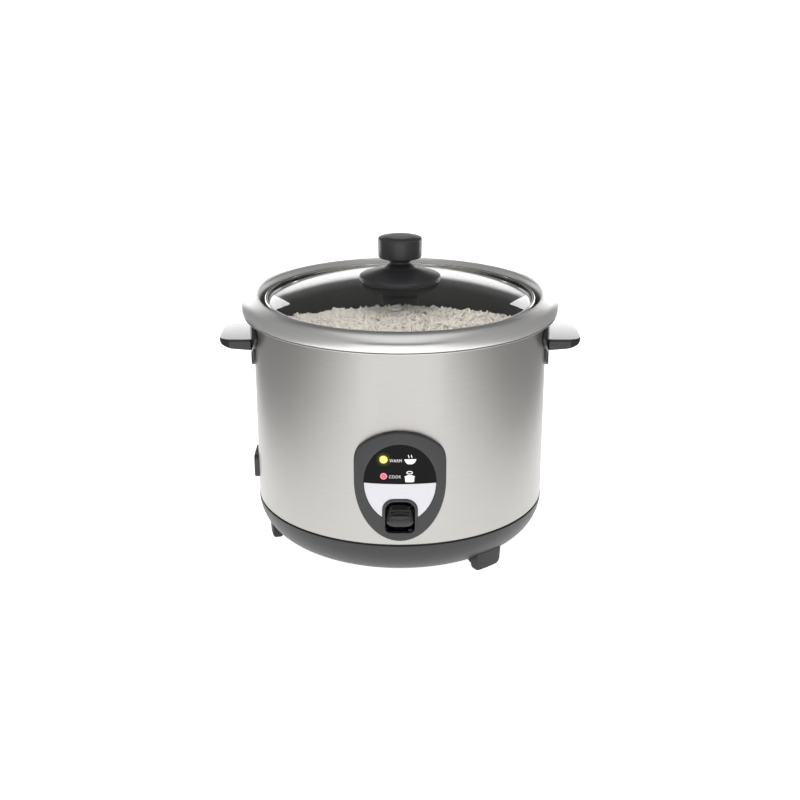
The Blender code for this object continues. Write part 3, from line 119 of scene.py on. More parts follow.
def surface(made, size, colours, roughness, height=0.0, stretch=(1, 1, 1), rings=False,
            detail=3.0):
    """Noise of a real size, in metres, that drives colour, roughness and a fine bump."""
    tree = made.node_tree
    shader = tree.nodes["Principled BSDF"]
    place = add(tree, "ShaderNodeTexCoord").outputs["Object"]
    if rings:
        flat = add(tree, "ShaderNodeVectorMath", {0: place, 1: (1, 1, 0)}, operation="MULTIPLY")
        reach = add(tree, "ShaderNodeVectorMath", {0: flat.outputs[0]}, operation="LENGTH")
        split = add(tree, "ShaderNodeSeparateXYZ", {0: place})
        place = add(tree, "ShaderNodeCombineXYZ",
                    {"X": reach.outputs["Value"], "Z": split.outputs["Z"]}).outputs[0]
    mapped = add(tree, "ShaderNodeMapping", {"Vector": place, "Scale": stretch}).outputs[0]
    cloud = add(tree, "ShaderNodeTexNoise", {"Vector": mapped, "Scale": 1 / size,
                                             "Detail": detail}).outputs["Fac"]
    ramp = add(tree, "ShaderNodeValToRGB", {"Fac": cloud})
    for element, spot, colour in zip(ramp.color_ramp.elements, (0.3, 0.7), colours):
        element.position, element.color = spot, srgb(colour)
    tree.links.new(ramp.outputs["Color"], shader.inputs["Base Color"])
    rough = add(tree, "ShaderNodeMapRange", {"Value": cloud, "From Min": 0.3, "From Max": 0.7,
                                             "To Min": roughness[0], "To Max": roughness[1]})
    tree.links.new(rough.outputs["Result"], shader.inputs["Roughness"])
    if height:
        bump = add(tree, "ShaderNodeBump", {"Height": cloud, "Strength": 1.0,
                                            "Distance": height})
        tree.links.new(bump.outputs["Normal"], shader.inputs["Normal"])
    return made


print("a mid grey becomes", round(srgb("#808080")[0], 3))

# %% [markdown]
# ### Metals
# The drum is **stainless steel brushed round its axis**: each stroke is a groove that runs
# round the drum, so light spreads up and down far more than sideways, and the drum shows soft
# upright bands. Real strokes are under 0.1 mm wide; they are drawn at 0.8 mm so that they show.
# The rim, pot and band are spun on a lathe, which leaves faint rings instead: satin on the rim,
# a mirror on the band. The eyelet is tumbled to an even satin, so it reads as a pale ring. The
# levers behind the paddle get a near-black steel colour, which is painted shade that keeps the
# gap behind the paddle dark.

# %% Metal finishes
brushed_steel = finish("stainless_steel_brushed", "#aeaca9", 0.36, 1.0, Anisotropic=0.8)
surface(brushed_steel, 0.8 * MM, ("#acaaa7", "#b1afac"), (0.34, 0.38),
        stretch=(0.03, 0.03, 1.0), detail=2.0)
tree = brushed_steel.node_tree
upright = add(tree, "ShaderNodeCombineXYZ", {"Z": 1.0})
tree.links.new(upright.outputs[0], tree.nodes["Principled BSDF"].inputs["Tangent"])

spun_rim = surface(finish("aluminium_spun_satin", "#cfcfcf", 0.38, 1.0), 1.6 * MM,
                   ("#cdcccb", "#d2d1d0"), (0.36, 0.40), rings=True, detail=2.0)
polished_band = surface(finish("stainless_steel_polished", "#d4d3d1", 0.10, 1.0), 2.0 * MM,
                        ("#cccac8", "#dad9d7"), (0.07, 0.13), rings=True, detail=2.0)
satin_steel = surface(finish("stainless_steel_satin", "#dededc", 0.4, 1.0), 2.0 * MM,
                      ("#dadad8", "#e2e2e0"), (0.36, 0.44))
# painted shade: near-black steel for the lever parts, so the gap behind the paddle reads dark
painted_shade_steel = surface(finish("steel_painted_shade", "#2b2b2d", 0.5, 1.0), 3.0 * MM,
                          ("#262628", "#303032"), (0.45, 0.55))
pot_outside = surface(finish("aluminium_spun_pot", "#b9b9ba", 0.35, 1.0), 1.2 * MM,
                      ("#adadae", "#c2c2c3"), (0.30, 0.42), rings=True, detail=2.0)
cast_aluminium = surface(finish("aluminium_cast", "#9b9b9d", 0.55, 1.0), 0.9 * MM,
                         ("#8b8b8d", "#a9a9ab"), (0.45, 0.65), 0.05 * MM)
drawn_tube = surface(finish("aluminium_drawn_tube", "#959596", 0.45, 1.0), 1.5 * MM,
                     ("#88888a", "#a2a2a3"), (0.35, 0.5))
zinc_steel = surface(finish("zinc_plated_steel", "#b5b4ae", 0.4, 1.0), 4.0 * MM,
                     ("#a3a39d", "#c2c2bc"), (0.32, 0.5))
brass = surface(finish("brass", "#cda85c", 0.3, 1.0), 2.0 * MM,
                ("#bd9748", "#d9b66c"), (0.22, 0.36))
print(sum(m.users >= 0 for m in bpy.data.materials), "materials so far")

# %% [markdown]
# ### Plastics, rubber and coatings
# The bowl and the panel are **ABS moulded in a finely etched tool**, which gives a satin grey
# with no sharp reflections. Handles, knob and paddle are **phenolic resin**, harder and blacker,
# because they get hot. It leaves the tool satin on the knob. On the handles and the paddle it is
# polished, so that their tops mirror the light. The pot is lined with a dark non-stick coat.

# %% Plastic and coating finishes
charcoal_abs = surface(finish("abs_etched_charcoal", "#232325", 0.42), 0.7 * MM,
                       ("#212123", "#262628"), (0.38, 0.46), 0.01 * MM)
black_phenolic = surface(finish("phenolic_resin_black", "#242426", 0.34), 6.0 * MM,
                         ("#232325", "#262628"), (0.30, 0.35))
polished_phenolic = surface(finish("phenolic_resin_polished", "#161618", 0.17), 6.0 * MM,
                            ("#151517", "#18181a"), (0.15, 0.19))
foot_rubber = surface(finish("rubber_black", "#1e1e1f", 0.6), 0.8 * MM,
                      ("#19191a", "#252526"), (0.5, 0.7), 0.03 * MM)
pot_lining = surface(finish("non_stick_coat", "#1e1d1e", 0.4), 1.5 * MM,
                     ("#1b1a1b", "#222122"), (0.34, 0.45), rings=True, detail=2.0)
white_insulator = surface(finish("steatite_ceramic", "#dcd9cf", 0.5), 1.2 * MM,
                          ("#d0cdc2", "#e4e1d8"), (0.42, 0.6))
silicone_red = surface(finish("silicone_sleeve_red", "#a83227", 0.5), 1.0 * MM,
                       ("#9a2b21", "#b43a2e"), (0.42, 0.58))
silver_print = surface(finish("silver_screen_print", "#c2c2c6", 0.45, 0.25), 0.6 * MM,
                       ("#c0c0c4", "#c6c6ca"), (0.34, 0.46))
sign_print = surface(finish("white_screen_print", "#f2f2f2", 0.45), 0.6 * MM,
                     ("#eeeeee", "#f8f8f8"), (0.4, 0.5))
cooked_rice = surface(finish("cooked_rice", "#fbf6ec", 0.42, Subsurface_Weight=0.15,
                             Subsurface_Radius=(0.0025, 0.002, 0.0014)), 7.0 * MM,
                      ("#f6efe2", "#fffcf6"), (0.34, 0.5))
print(len(bpy.data.materials), "materials in all so far")

# %% [markdown]
# ### Glass and lit lenses
# The lid is tempered soda-lime glass, IOR 1.52, clear with hardly any tint. Light that goes on
# to light the rice would be lost as it bends through two faces,
# so shadow rays pass straight on. The lamps' lenses glow from their middles: a ramp over the
# distance from the lens's axis paints the bright core, the body colour and the darker edge.

# %% Glass and lens finishes
lid_clear = finish("tempered_glass", "#fdfdfc", 0.0, Transmission_Weight=1.0, IOR=1.52)
tree = lid_clear.node_tree
shader, output = tree.nodes["Principled BSDF"], tree.nodes["Material Output"]
ray = add(tree, "ShaderNodeLightPath")
through = add(tree, "ShaderNodeBsdfTransparent", {"Color": (0.93, 0.93, 0.92, 1)})
mix = add(tree, "ShaderNodeMixShader", {0: ray.outputs["Is Shadow Ray"],
                                        1: shader.outputs[0], 2: through.outputs[0]})
tree.links.new(mix.outputs[0], output.inputs["Surface"])
lamp_glass = surface(finish("soda_glass_neon", "#f1ede6", 0.05, Transmission_Weight=0.9,
                            IOR=1.5), 4.0 * MM, ("#ece7de", "#f7f4ee"), (0.03, 0.08))


def lens_finish(name, centre, radius, stops, glow):
    """A glowing lens: colour stops run from its axis out to its edge."""
    made = finish(name, stops[0][1], 0.18, Emission_Strength=glow)
    tree = made.node_tree
    shader = tree.nodes["Principled BSDF"]
    place = add(tree, "ShaderNodeTexCoord").outputs["Object"]
    from_axis = add(tree, "ShaderNodeVectorMath", {0: place, 1: tuple(centre)},
                    operation="DISTANCE")
    share = add(tree, "ShaderNodeMath", {0: from_axis.outputs["Value"], 1: radius},
                operation="DIVIDE")
    ramp = add(tree, "ShaderNodeValToRGB", {"Fac": share.outputs[0]})
    elements = ramp.color_ramp.elements
    while len(elements) < len(stops):
        elements.new(0.5)
    for element, (spot, colour) in zip(elements, stops):
        element.position, element.color = spot, srgb(colour)
    for socket in ("Base Color", "Emission Color"):
        tree.links.new(ramp.outputs["Color"], shader.inputs[socket])
    return made


def lamp_centre(node):
    """The middle of a lens's outer face."""
    low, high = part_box(node)
    return Vector(((low.x + high.x) / 2, low.y, (low.z + high.z) / 2))


warm_centre, cook_centre = lamp_centre("warm_lamp_lens"), lamp_centre("cook_lamp_lens")
amber_lens = lens_finish("polycarbonate_amber_lit", warm_centre, 3.6 * MM,
                         ((0.0, "#f2e276"), (0.45, "#f5ea8c"), (0.75, "#e8d84a"),
                          (1.0, "#a39a1c")), 0.8)
red_lens = lens_finish("polycarbonate_red", cook_centre, 3.1 * MM,
                       ((0.0, "#f2a0a4"), (0.22, "#e0525a"), (0.45, "#c8283a"),
                        (0.62, "#d9606a"), (0.8, "#e79aa0"), (1.0, "#a8323a")), 0.35)
print("lamps at", [round(c / MM, 1) for c in (*warm_centre, *cook_centre)])

# %% [markdown]
# The black plate is a matt print that throws back hardly any light. The yellow-green spill of
# the lit lamp is painted on: a soft glow in the plate's own emission that fades within a few
# millimetres.

# %% Black label finish with painted lamp glow
black_print_painted_glow = surface(finish("black_screen_print_painted_glow", "#0a0a0b", 0.45, Specular_IOR_Level=0.1,
                             Emission_Strength=0.16),
                      0.8 * MM, ("#09090a", "#0c0c0d"), (0.36, 0.44))
tree = black_print_painted_glow.node_tree
place = add(tree, "ShaderNodeTexCoord").outputs["Object"]
from_lamp = add(tree, "ShaderNodeVectorMath", {0: place, 1: tuple(warm_centre)},
                operation="DISTANCE")
fade = add(tree, "ShaderNodeMapRange",
           {"Value": from_lamp.outputs["Value"], "From Min": 3.0 * MM, "From Max": 7.5 * MM,
            "To Min": 1.0, "To Max": 0.0}, interpolation_type="SMOOTHSTEP")
# painted glow: the lamp's light spill set as the plate's emission colour near the lamp
glow = add(tree, "ShaderNodeMix", {0: fade.outputs["Result"], 6: (0, 0, 0, 1),
                                   7: srgb("#9aa524")}, data_type="RGBA")
tree.links.new(glow.outputs[2], tree.nodes["Principled BSDF"].inputs["Emission Color"])
print("materials:", len(bpy.data.materials))

# %% [markdown]
# ## Tools for the meshes
# Nearly every large piece of a cooker is turned: an outline spun round the axis. A rule like
# that suits Geometry Nodes. The object holds only the corners of its outline as points; the
# tree lays a grid with one row for each step round the axis, and moves grid point by grid point
# onto the outline turned by that step's angle.

# %% Node tree: turn an outline round the axis
def new_tree(name, inputs):
    """A Geometry Nodes tree with named inputs, its group input and its group output."""
    tree = bpy.data.node_groups.new(name, "GeometryNodeTree")
    tree.interface.new_socket("Geometry", in_out="INPUT", socket_type="NodeSocketGeometry")
    for label, kind in inputs:
        tree.interface.new_socket(label, in_out="INPUT", socket_type="NodeSocket" + kind)
    tree.interface.new_socket("Geometry", in_out="OUTPUT", socket_type="NodeSocketGeometry")
    return tree, add(tree, "NodeGroupInput").outputs, add(tree, "NodeGroupOutput").inputs[0]


def end_tree(tree, geometry, material, result):
    """Make the copies real, give them their material and hand them out."""
    plain = add(tree, "GeometryNodeRealizeInstances", {"Geometry": geometry})
    coloured = add(tree, "GeometryNodeSetMaterial",
                   {"Geometry": plain.outputs[0], "Material": material})
    tree.links.new(coloured.outputs[0], result)


turning, given, result = new_tree("turned_on_axis", (("Steps", "Int"), ("Material", "Material")))
whole, decimal = "FunctionNodeIntegerMath", "ShaderNodeMath"
count = add(turning, "GeometryNodeAttributeDomainSize",
            {"Geometry": given["Geometry"]}, component="MESH").outputs["Point Count"]
rows = add(turning, whole, {0: given["Steps"], 1: 1}, operation="ADD")
row_length = add(turning, whole, {0: count, 1: 1}, operation="ADD").outputs[0]
grid = add(turning, "GeometryNodeMeshGrid", {"Vertices X": rows.outputs[0],
                                             "Vertices Y": row_length})
place = add(turning, "GeometryNodeInputIndex").outputs[0]
step = add(turning, whole, {0: place, 1: row_length}, operation="DIVIDE_FLOOR").outputs[0]
in_row = add(turning, whole, {0: place, 1: row_length}, operation="MODULO").outputs[0]
corner = add(turning, whole, {0: in_row, 1: count}, operation="MODULO").outputs[0]
sample = add(turning, "GeometryNodeSampleIndex",
             {"Geometry": given["Geometry"], "Index": corner,
              "Value": add(turning, "GeometryNodeInputPosition").outputs[0]},
             data_type="FLOAT_VECTOR")
full_turns = add(turning, decimal, {0: step, 1: 2 * pi}, operation="MULTIPLY").outputs[0]
turn = add(turning, decimal, {0: full_turns, 1: given["Steps"]}, operation="DIVIDE").outputs[0]
spun = add(turning, "ShaderNodeVectorRotate", {"Vector": sample.outputs[0], "Angle": turn},
           rotation_type="Z_AXIS")
moved = add(turning, "GeometryNodeSetPosition",
            {"Geometry": grid.outputs["Mesh"], "Position": spun.outputs[0]})
merged = add(turning, "GeometryNodeMergeByDistance",
             {"Geometry": moved.outputs[0], "Distance": 0.002 * MM})
end_tree(turning, merged.outputs[0], given["Material"], result)
print("turning tree:", len(turning.nodes), "nodes")

# %% [markdown]
# A finished piece is a plain mesh: the modifier is evaluated once, its result is kept and the
# modifier goes. Faces then get their outward side, and edges sharper than 30 degrees stay crisp.

# %% Finish and attach pieces
def new_object(name, mesh):
    obj = bpy.data.objects.new(name, mesh)
    bpy.context.collection.objects.link(obj)
    return obj


def shade(mesh, angle=30):
    mesh.shade_smooth()
    mesh.set_sharp_from_angle(angle=radians(angle))


def close_up(mesh):
    """Merge doubled points, drop loose ones and turn the faces outwards."""
    bm = bmesh.new()
    bm.from_mesh(mesh)
    bmesh.ops.remove_doubles(bm, verts=bm.verts[:], dist=0.001 * MM)
    bmesh.ops.dissolve_degenerate(bm, edges=bm.edges[:], dist=0.0005 * MM)
    bmesh.ops.delete(bm, geom=[e for e in bm.edges if not e.link_faces], context="EDGES")
    bmesh.ops.delete(bm, geom=[v for v in bm.verts if not v.link_faces], context="VERTS")
    bmesh.ops.recalc_face_normals(bm, faces=bm.faces[:])
    bm.to_mesh(mesh)
    bm.free()


def bake(obj):
    """Swap an object's modifiers for the plain mesh that they make, with no empty slot."""
    evaluated = obj.evaluated_get(bpy.context.evaluated_depsgraph_get())
    mesh = bpy.data.meshes.new_from_object(evaluated)
    slots = list(mesh.materials)
    finishes = [material for material in slots if material]
    wanted = [finishes.index(slots[face.material_index]) if slots and slots[face.material_index]
              else 0 for face in mesh.polygons]
    mesh.materials.clear()
    for material in finishes:
        mesh.materials.append(material)
    mesh.polygons.foreach_set("material_index", wanted)
    obj.modifiers.clear()
    obj.data = mesh
    return obj


def run_nodes(obj, tree, **values):
    """Run a node tree on an object; inputs are given by name, with _ for a space."""
    modifier = obj.modifiers.new(tree.name, "NODES")
    modifier.node_group = tree
    sockets = {item.name: item.identifier for item in tree.interface.items_tree
               if item.in_out == "INPUT"}
    for label, value in values.items():
        modifier[sockets[label.replace("_", " ")]] = value
    return bake(obj)


def keep(obj, body, slot, *replaced, sharp=30):
    """Shade a finished piece, let it ride on its body and stand for its CAD nodes."""
    shade(obj.data, sharp)
    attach(obj, body)
    if replaced:
        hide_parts(*replaced)
    obj.data.calc_loop_triangles()
    print(f"{obj.name}: {len(obj.data.loop_triangles)} triangles")
    return obj


def rounded(corners, steps=4):
    """An outline of (r, z, fillet) corners in mm as points in metres, each corner rounded."""
    points = []
    for i, (r, z, fillet) in enumerate(corners):
        here = Vector((r, z))
        back = Vector(corners[i - 1][:2]) - here
        ahead = Vector(corners[(i + 1) % len(corners)][:2]) - here
        half = back.angle(ahead, pi) / 2
        if not fillet or half > radians(89):
            points.append(here * MM)
            continue
        reach = min(fillet / tan(half), 0.49 * back.length, 0.49 * ahead.length)
        radius = reach * tan(half)
        back.normalize()
        ahead.normalize()
        centre = here + (back + ahead).normalized() * (radius / sin(half))
        first, last = here + back * reach - centre, here + ahead * reach - centre
        sweep = first.angle(last)
        for k in range(steps + 1):
            t = k / steps
            arm = (sin((1 - t) * sweep) * first + sin(t * sweep) * last) / sin(sweep)
            points.append((centre + arm) * MM)
    return points


def turned(name, outline, material, steps=160):
    """A solid of revolution from a closed outline of (r, z) points."""
    mesh = bpy.data.meshes.new(name)
    mesh.from_pydata([(r, 0, z) for r, z in outline], [], [])
    obj = run_nodes(new_object(name, mesh), turning, Steps=steps, Material=material)
    close_up(obj.data)
    return obj


def arc(centre, radii, start, end, steps):
    """Points on an elliptic arc, angles in degrees."""
    turns = [radians(start + (end - start) * i / steps) for i in range(steps + 1)]
    return [(centre[0] + radii[0] * cos(a), centre[1] + radii[1] * sin(a)) for a in turns]


def lofted(name, sections, material=None):
    """A closed skin through loops of points, capped at both ends."""
    count = len(sections[0])
    points = [point for section in sections for point in section]
    faces = [list(range(count))[::-1], list(range(len(points) - count, len(points)))]
    for k in range(len(sections) - 1):
        for i in range(count):
            a, b = k * count + i, k * count + (i + 1) % count
            faces.append((a, b, b + count, a + count))
    mesh = bpy.data.meshes.new(name)
    mesh.from_pydata([tuple(p) for p in points], [], faces)
    close_up(mesh)
    if material:
        mesh.materials.append(material)
    return new_object(name, mesh)


def combine(obj, others, operation="DIFFERENCE"):
    """Cut or join closed solids, then drop them."""
    for other in others:
        modifier = obj.modifiers.new("combine", "BOOLEAN")
        modifier.object, modifier.operation, modifier.solver = other, operation, "EXACT"
        bpy.context.view_layer.update()
        bake(obj)
        bpy.data.objects.remove(other)
    return obj


def block(low, high):
    """A box to cut with."""
    (x0, y0, z0), (x1, y1, z1) = low, high
    return lofted("cutter", [[(x0, y0, z), (x1, y0, z), (x1, y1, z), (x0, y1, z)]
                             for z in (z0, z1)])


def rod(start, end, radius, steps=32):
    """A round bar to cut with."""
    start, end = Vector(start), Vector(end)
    turn = (end - start).to_track_quat("Z", "Y")
    ring = [turn @ Vector((x, y, 0)) for x, y in arc((0, 0), (radius, radius), 0, 360, steps)]
    return lofted("cutter", [[p + place for p in ring[:-1]] for place in (start, end)])


def on_drum(radius, azimuth, height):
    """A point at an azimuth in degrees, 0 at the front."""
    angle = radians(azimuth)
    return Vector((radius * sin(angle), -radius * cos(angle), height))


print("helpers ready")

# %% [markdown]
# ## The drum
# A sheet of brushed steel rolled to a cylinder, 0.8 mm thick, its top edge flanged outwards to
# carry the rim. It is turned from its outline, then windows are cut for the switch, the lamps
# and the power inlet, and four holes for the handles' screws.

# %% Drum
wall = 0.8
foot, top = shell_low.z / MM, shell_high.z / MM
radius, lip = DRUM_RADIUS / MM, shell_high.x / MM
drum = turned("brushed_drum", rounded([
    (radius, foot, 0.2), (radius, top - wall, 1.0), (lip, top - wall, 0.35), (lip, top, 0.35),
    (radius - wall, top, 1.4), (radius - wall, foot, 0.2)]), brushed_steel, 192)
window_low, window_high = 54.5 * MM, 83.6 * MM
near, far = -DRUM_RADIUS - 0.01, -DRUM_RADIUS + 0.02
combine(drum, [
    block((-13.3 * MM, near, window_low - MM), (13.3 * MM, far, window_high + MM)),
    block((warm_centre.x - 5.5 * MM, near, cook_centre.z - 5.5 * MM),
          (warm_centre.x + 5.5 * MM, far, warm_centre.z + 5.5 * MM)),
    block((near, -15.6 * MM, 53.6 * MM), (far, 15.6 * MM, 76.8 * MM))]
    + [rod((s * (DRUM_RADIUS - 0.01), y * MM, 0.188), (s * (DRUM_RADIUS + 0.01), y * MM, 0.188),
           2.4 * MM) for s in (-1, 1) for y in (-15, 15)])
drum.data.materials.append(polished_band)
for face in drum.data.polygons:
    if Vector(face.center.xy).length > (lip - 0.8) * MM:
        face.material_index = 1
keep(drum, "housing", "brushed_steel", "outer_shell")

# %% [markdown]
# ## The bowl under the drum
# One moulding: a flat floor, a wide round side and a lip that goes up inside the drum. Eight
# slots in the floor let air in. They repeat round the axis, so a node tree places one bar on
# each of a ring of points, and a Mesh Boolean takes them all out of the floor at once.

# %% Bowl with vent slots
bowl_low, bowl_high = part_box("base_housing")
floor_z, bowl_top = bowl_low.z / MM, 40.2
bowl_radius, flat_radius, lip_radius = 132.7, 93.7, 131.4
outside = arc((flat_radius, bowl_top), (bowl_radius - flat_radius, bowl_top - floor_z), -90, 0, 24)
inside = arc((flat_radius, bowl_top), (lip_radius - 2.3 - flat_radius,
                                       bowl_top - floor_z - 2.5), -90, 0, 16)
outline = ([(0, floor_z)] + outside[:-1] + [(bowl_radius, bowl_top - 0.4)]
           + [(bowl_radius - 0.4, bowl_top), (lip_radius, bowl_top)]
           + [(lip_radius, bowl_high.z / MM), (lip_radius - 2.3, bowl_high.z / MM)]
           + inside[::-1] + [(0, floor_z + 2.5)])
bowl = turned("moulded_bowl", [(r * MM, z * MM) for r, z in outline], charcoal_abs, 192)

slots, given, result = new_tree("vent_slots", (
    ("Slots", "Int"), ("Inner Radius", "Float"), ("Outer Radius", "Float"), ("Width", "Float"),
    ("Height", "Float"), ("Turn", "Float"), ("Material", "Material")))
both = add(slots, decimal, {0: given["Inner Radius"], 1: given["Outer Radius"]},
           operation="ADD").outputs[0]
middle = add(slots, decimal, {0: both, 1: 0.5}, operation="MULTIPLY").outputs[0]
reach = add(slots, decimal, {0: given["Outer Radius"], 1: given["Inner Radius"]},
            operation="SUBTRACT").outputs[0]
ring = add(slots, "GeometryNodeMeshCircle", {"Vertices": given["Slots"], "Radius": middle})
bar = add(slots, "GeometryNodeMeshCube", {"Size": add(slots, "ShaderNodeCombineXYZ", {
    "X": reach, "Y": given["Width"], "Z": 8 * MM}).outputs[0]})
slot_index = add(slots, "GeometryNodeInputIndex").outputs[0]
full_turns = add(slots, decimal, {0: slot_index, 1: 2 * pi}, operation="MULTIPLY").outputs[0]
turn = add(slots, decimal, {0: full_turns, 1: given["Slots"]}, operation="DIVIDE").outputs[0]
bars = add(slots, "GeometryNodeInstanceOnPoints", {
    "Points": ring.outputs[0], "Instance": bar.outputs[0],
    "Rotation": add(slots, "ShaderNodeCombineXYZ", {"Z": turn}).outputs[0]})
placed = add(slots, "GeometryNodeTransform", {
    "Geometry": add(slots, "GeometryNodeRealizeInstances",
                    {"Geometry": bars.outputs[0]}).outputs[0],
    "Translation": add(slots, "ShaderNodeCombineXYZ", {"Z": given["Height"]}).outputs[0],
    "Rotation": add(slots, "ShaderNodeCombineXYZ", {"Z": given["Turn"]}).outputs[0]})
cut = add(slots, "GeometryNodeMeshBoolean", {0: given["Geometry"], 1: placed.outputs[0]},
          operation="DIFFERENCE", solver="EXACT")
end_tree(slots, cut.outputs[0], given["Material"], result)
run_nodes(bowl, slots, Slots=8, Inner_Radius=30 * MM, Outer_Radius=62 * MM, Width=4 * MM,
          Height=floor_z * MM + 1 * MM, Turn=pi / 2 + 2 * pi * 0.4 / 8, Material=charcoal_abs)
combine(bowl, [rod(on_drum(89 * MM, a, 2 * MM), on_drum(89 * MM, a, 10 * MM), 2.4 * MM)
               for a in (60, 180, 300)])
keep(bowl, "housing", "charcoal_plastic", "base_housing")

# %% [markdown]
# ## Three feet
# Short arcs of black rubber that hang under the bowl, one in front on the right, one on the
# left and one behind. A foot is lofted from cross-sections: its back follows the bowl, and its
# corners are rounded towards the floor.

# %% Feet
def bowl_height(reach):
    """Height of the bowl's outside at a distance from the axis, in mm."""
    across = (reach - flat_radius) / (bowl_radius - flat_radius)
    return bowl_top - (bowl_top - floor_z) * sqrt(1 - across * across)


def foot(name, azimuth, half_turn=6.5, inner=109.5, outer=124.0, corner=4.0):
    sections = []
    for i in range(33):
        turn = half_turn * (2 * i / 32 - 1)
        from_end = radians(half_turn - abs(turn)) * (inner + outer) / 2
        lift = 0.0
        if from_end < corner:
            lift = 0.8 * (corner - sqrt(corner ** 2 - (corner - from_end) ** 2))
        side = rounded([(inner + 1, lift, 1.5), (outer - 1, lift, 3.2),
                        (outer, lift + 8, 0)]) [:-1]
        side = [(r / MM, z / MM) for r, z in side]
        side += [(r, bowl_height(r) - 0.45) for r in
                 [outer - (outer - inner) * k / 10 for k in range(11)]]
        sections.append([on_drum(r * MM, azimuth + turn, z * MM) for r, z in side])
    obj = lofted(name + "_moulded", sections, foot_rubber)
    keep(obj, "housing", "foot_rubber", name)


foot("foot_front_right", 40)
foot("foot_left", -80)
foot("foot_rear", 160)

# %% [markdown]
# ## Rim, liner and pot
# The rim is spun from aluminium: it slopes in towards the pot, rolls over a crest and comes
# down to a plain edge above the drum's flange. The zinc-coated liner hangs inside the drum from
# its own flange, and the pot stands on the hot plate with its flange above the liner's.

# %% Rim, liner and pot
rim_top, rim_foot, rim_out = rim_high.z / MM, rim_low.z / MM, rim_high.x / MM
crest_r, shoulder, seat_r, rim_wall = rim_out - 14.5, rim_top - 8.8, rim_out - 17.7, 1.2
crown = arc((crest_r, shoulder), (14.5, 8.8), 90, 0, 20)
under = arc((crest_r, shoulder), (13.3, 7.6), 0, 90, 12)
outline = ([(seat_r, rim_foot + 0.6), (crest_r - 0.9, rim_top - 0.9)] + crown
           + [(rim_out, rim_foot + 0.5), (rim_out - 0.3, rim_foot + 0.1),
              (rim_out - rim_wall, rim_foot + 0.1)] + under + [(seat_r + rim_wall, rim_foot + 0.6)])
rim = turned("spun_rim", [(r * MM, z * MM) for r, z in outline], spun_rim, 192)
keep(rim, "housing", "spun_aluminium", "top_rim", sharp=40)

liner_low, liner_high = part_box("inner_liner")
bottom, top = liner_low.z / MM, liner_high.z / MM
liner = turned("zinc_liner", rounded([
    (50, bottom, 0), (98, bottom, 3), (124, bottom + 37.5, 8), (124, top - 0.8, 0.6),
    (liner_high.x / MM, top - 0.8, 0), (liner_high.x / MM, top, 0), (123.2, top, 1.2),
    (123.2, bottom + 37.5, 8), (97.6, bottom + 0.8, 3), (50, bottom + 0.8, 0)]), zinc_steel)
combine(liner, [rod(on_drum(68 * MM, a, 58 * MM), on_drum(68 * MM, a, 66 * MM), 2.4 * MM)
                for a in (60, 180, 300)])
keep(liner, "housing", "zinc_steel", "inner_liner")

pot_floor, pot_top, flange = pot_low.z / MM, pot_high.z / MM, pot_high.x / MM
pot = turned("spun_pot", [(0, pot_floor * MM)] + rounded([
    (118, pot_floor, 16), (118, pot_top - 1.5, 0.6), (flange, pot_top - 1.5, 0.5),
    (flange, pot_top, 0.5), (116.5, pot_top, 1.6), (116.5, pot_floor + 1.5, 14.5),
    (0, pot_floor + 1.5, 0), (0, pot_floor, 0)], 10)[:-1], pot_outside, 192)
pot.data.materials.append(pot_lining)
for face in pot.data.polygons:
    arm, facing = face.center.xy, face.normal.xy
    inward = arm.dot(facing) < -0.02 * arm.length
    if arm.length < 116.9 * MM and (inward or face.normal.z > 0.5):
        face.material_index = 1
keep(pot, "inner_pot", "spun_aluminium", "inner_pot")

# %% [markdown]
# ## The glass lid
# The dome is a slice of a sphere 392 mm in radius, so both faces follow one rule and light
# bends through it evenly. A steel channel is crimped round its edge. The knob is screwed on
# through the middle with a washer below, and a steel eyelet in the glass lets steam out.

# %% Dome, band and eyelet
ball, thick, bore = 392.0, 3.5, 2.6
edge, apex = glass_high.x / MM, glass_high.z / MM + bore ** 2 / (2 * ball)


def dome(reach, below=0.0):
    """Height of the glass at a distance from the axis, in mm."""
    return apex - ball + sqrt((ball - below) ** 2 - reach * reach)


stations = [bore + (edge - bore) * i / 28 for i in range(29)]
outline = [(r, dome(r)) for r in stations] + [(r, dome(r, thick)) for r in reversed(stations)]
glass = turned("domed_glass", [(r * MM, z * MM) for r, z in outline], lid_clear, 192)
eyelet_low, eyelet_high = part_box("vent_eyelet")
eyelet_spot = (eyelet_low + eyelet_high) / 2
spot = Vector((eyelet_spot.x, eyelet_spot.y)).length / MM
tilt = Vector((eyelet_spot.x, eyelet_spot.y, (dome(spot) - apex + ball) * MM)).normalized()
seat = Vector((eyelet_spot.x, eyelet_spot.y, dome(spot) * MM))
combine(glass, [rod(seat - tilt * 10 * MM, seat + tilt * 10 * MM, 3.6 * MM, 48)])
keep(glass, "lid", "lid_glass", "lid_glass")

eyelet = turned("steel_eyelet", rounded([
    (2.5, -4.5, 0.3), (5, -4.5, 0.3), (5, -3.8, 0.3), (3.3, -3.8, 0.2), (3.3, 0.3, 0.2),
    (5, 0.3, 0.2), (4.7, 1.0, 0.4), (2.5, 1.0, 0.35)]), satin_steel, 48)
eyelet.data.transform(Matrix.Translation(seat) @ tilt.to_track_quat("Z", "Y").to_matrix().to_4x4())
keep(eyelet, "lid", "polished_band", "vent_eyelet")

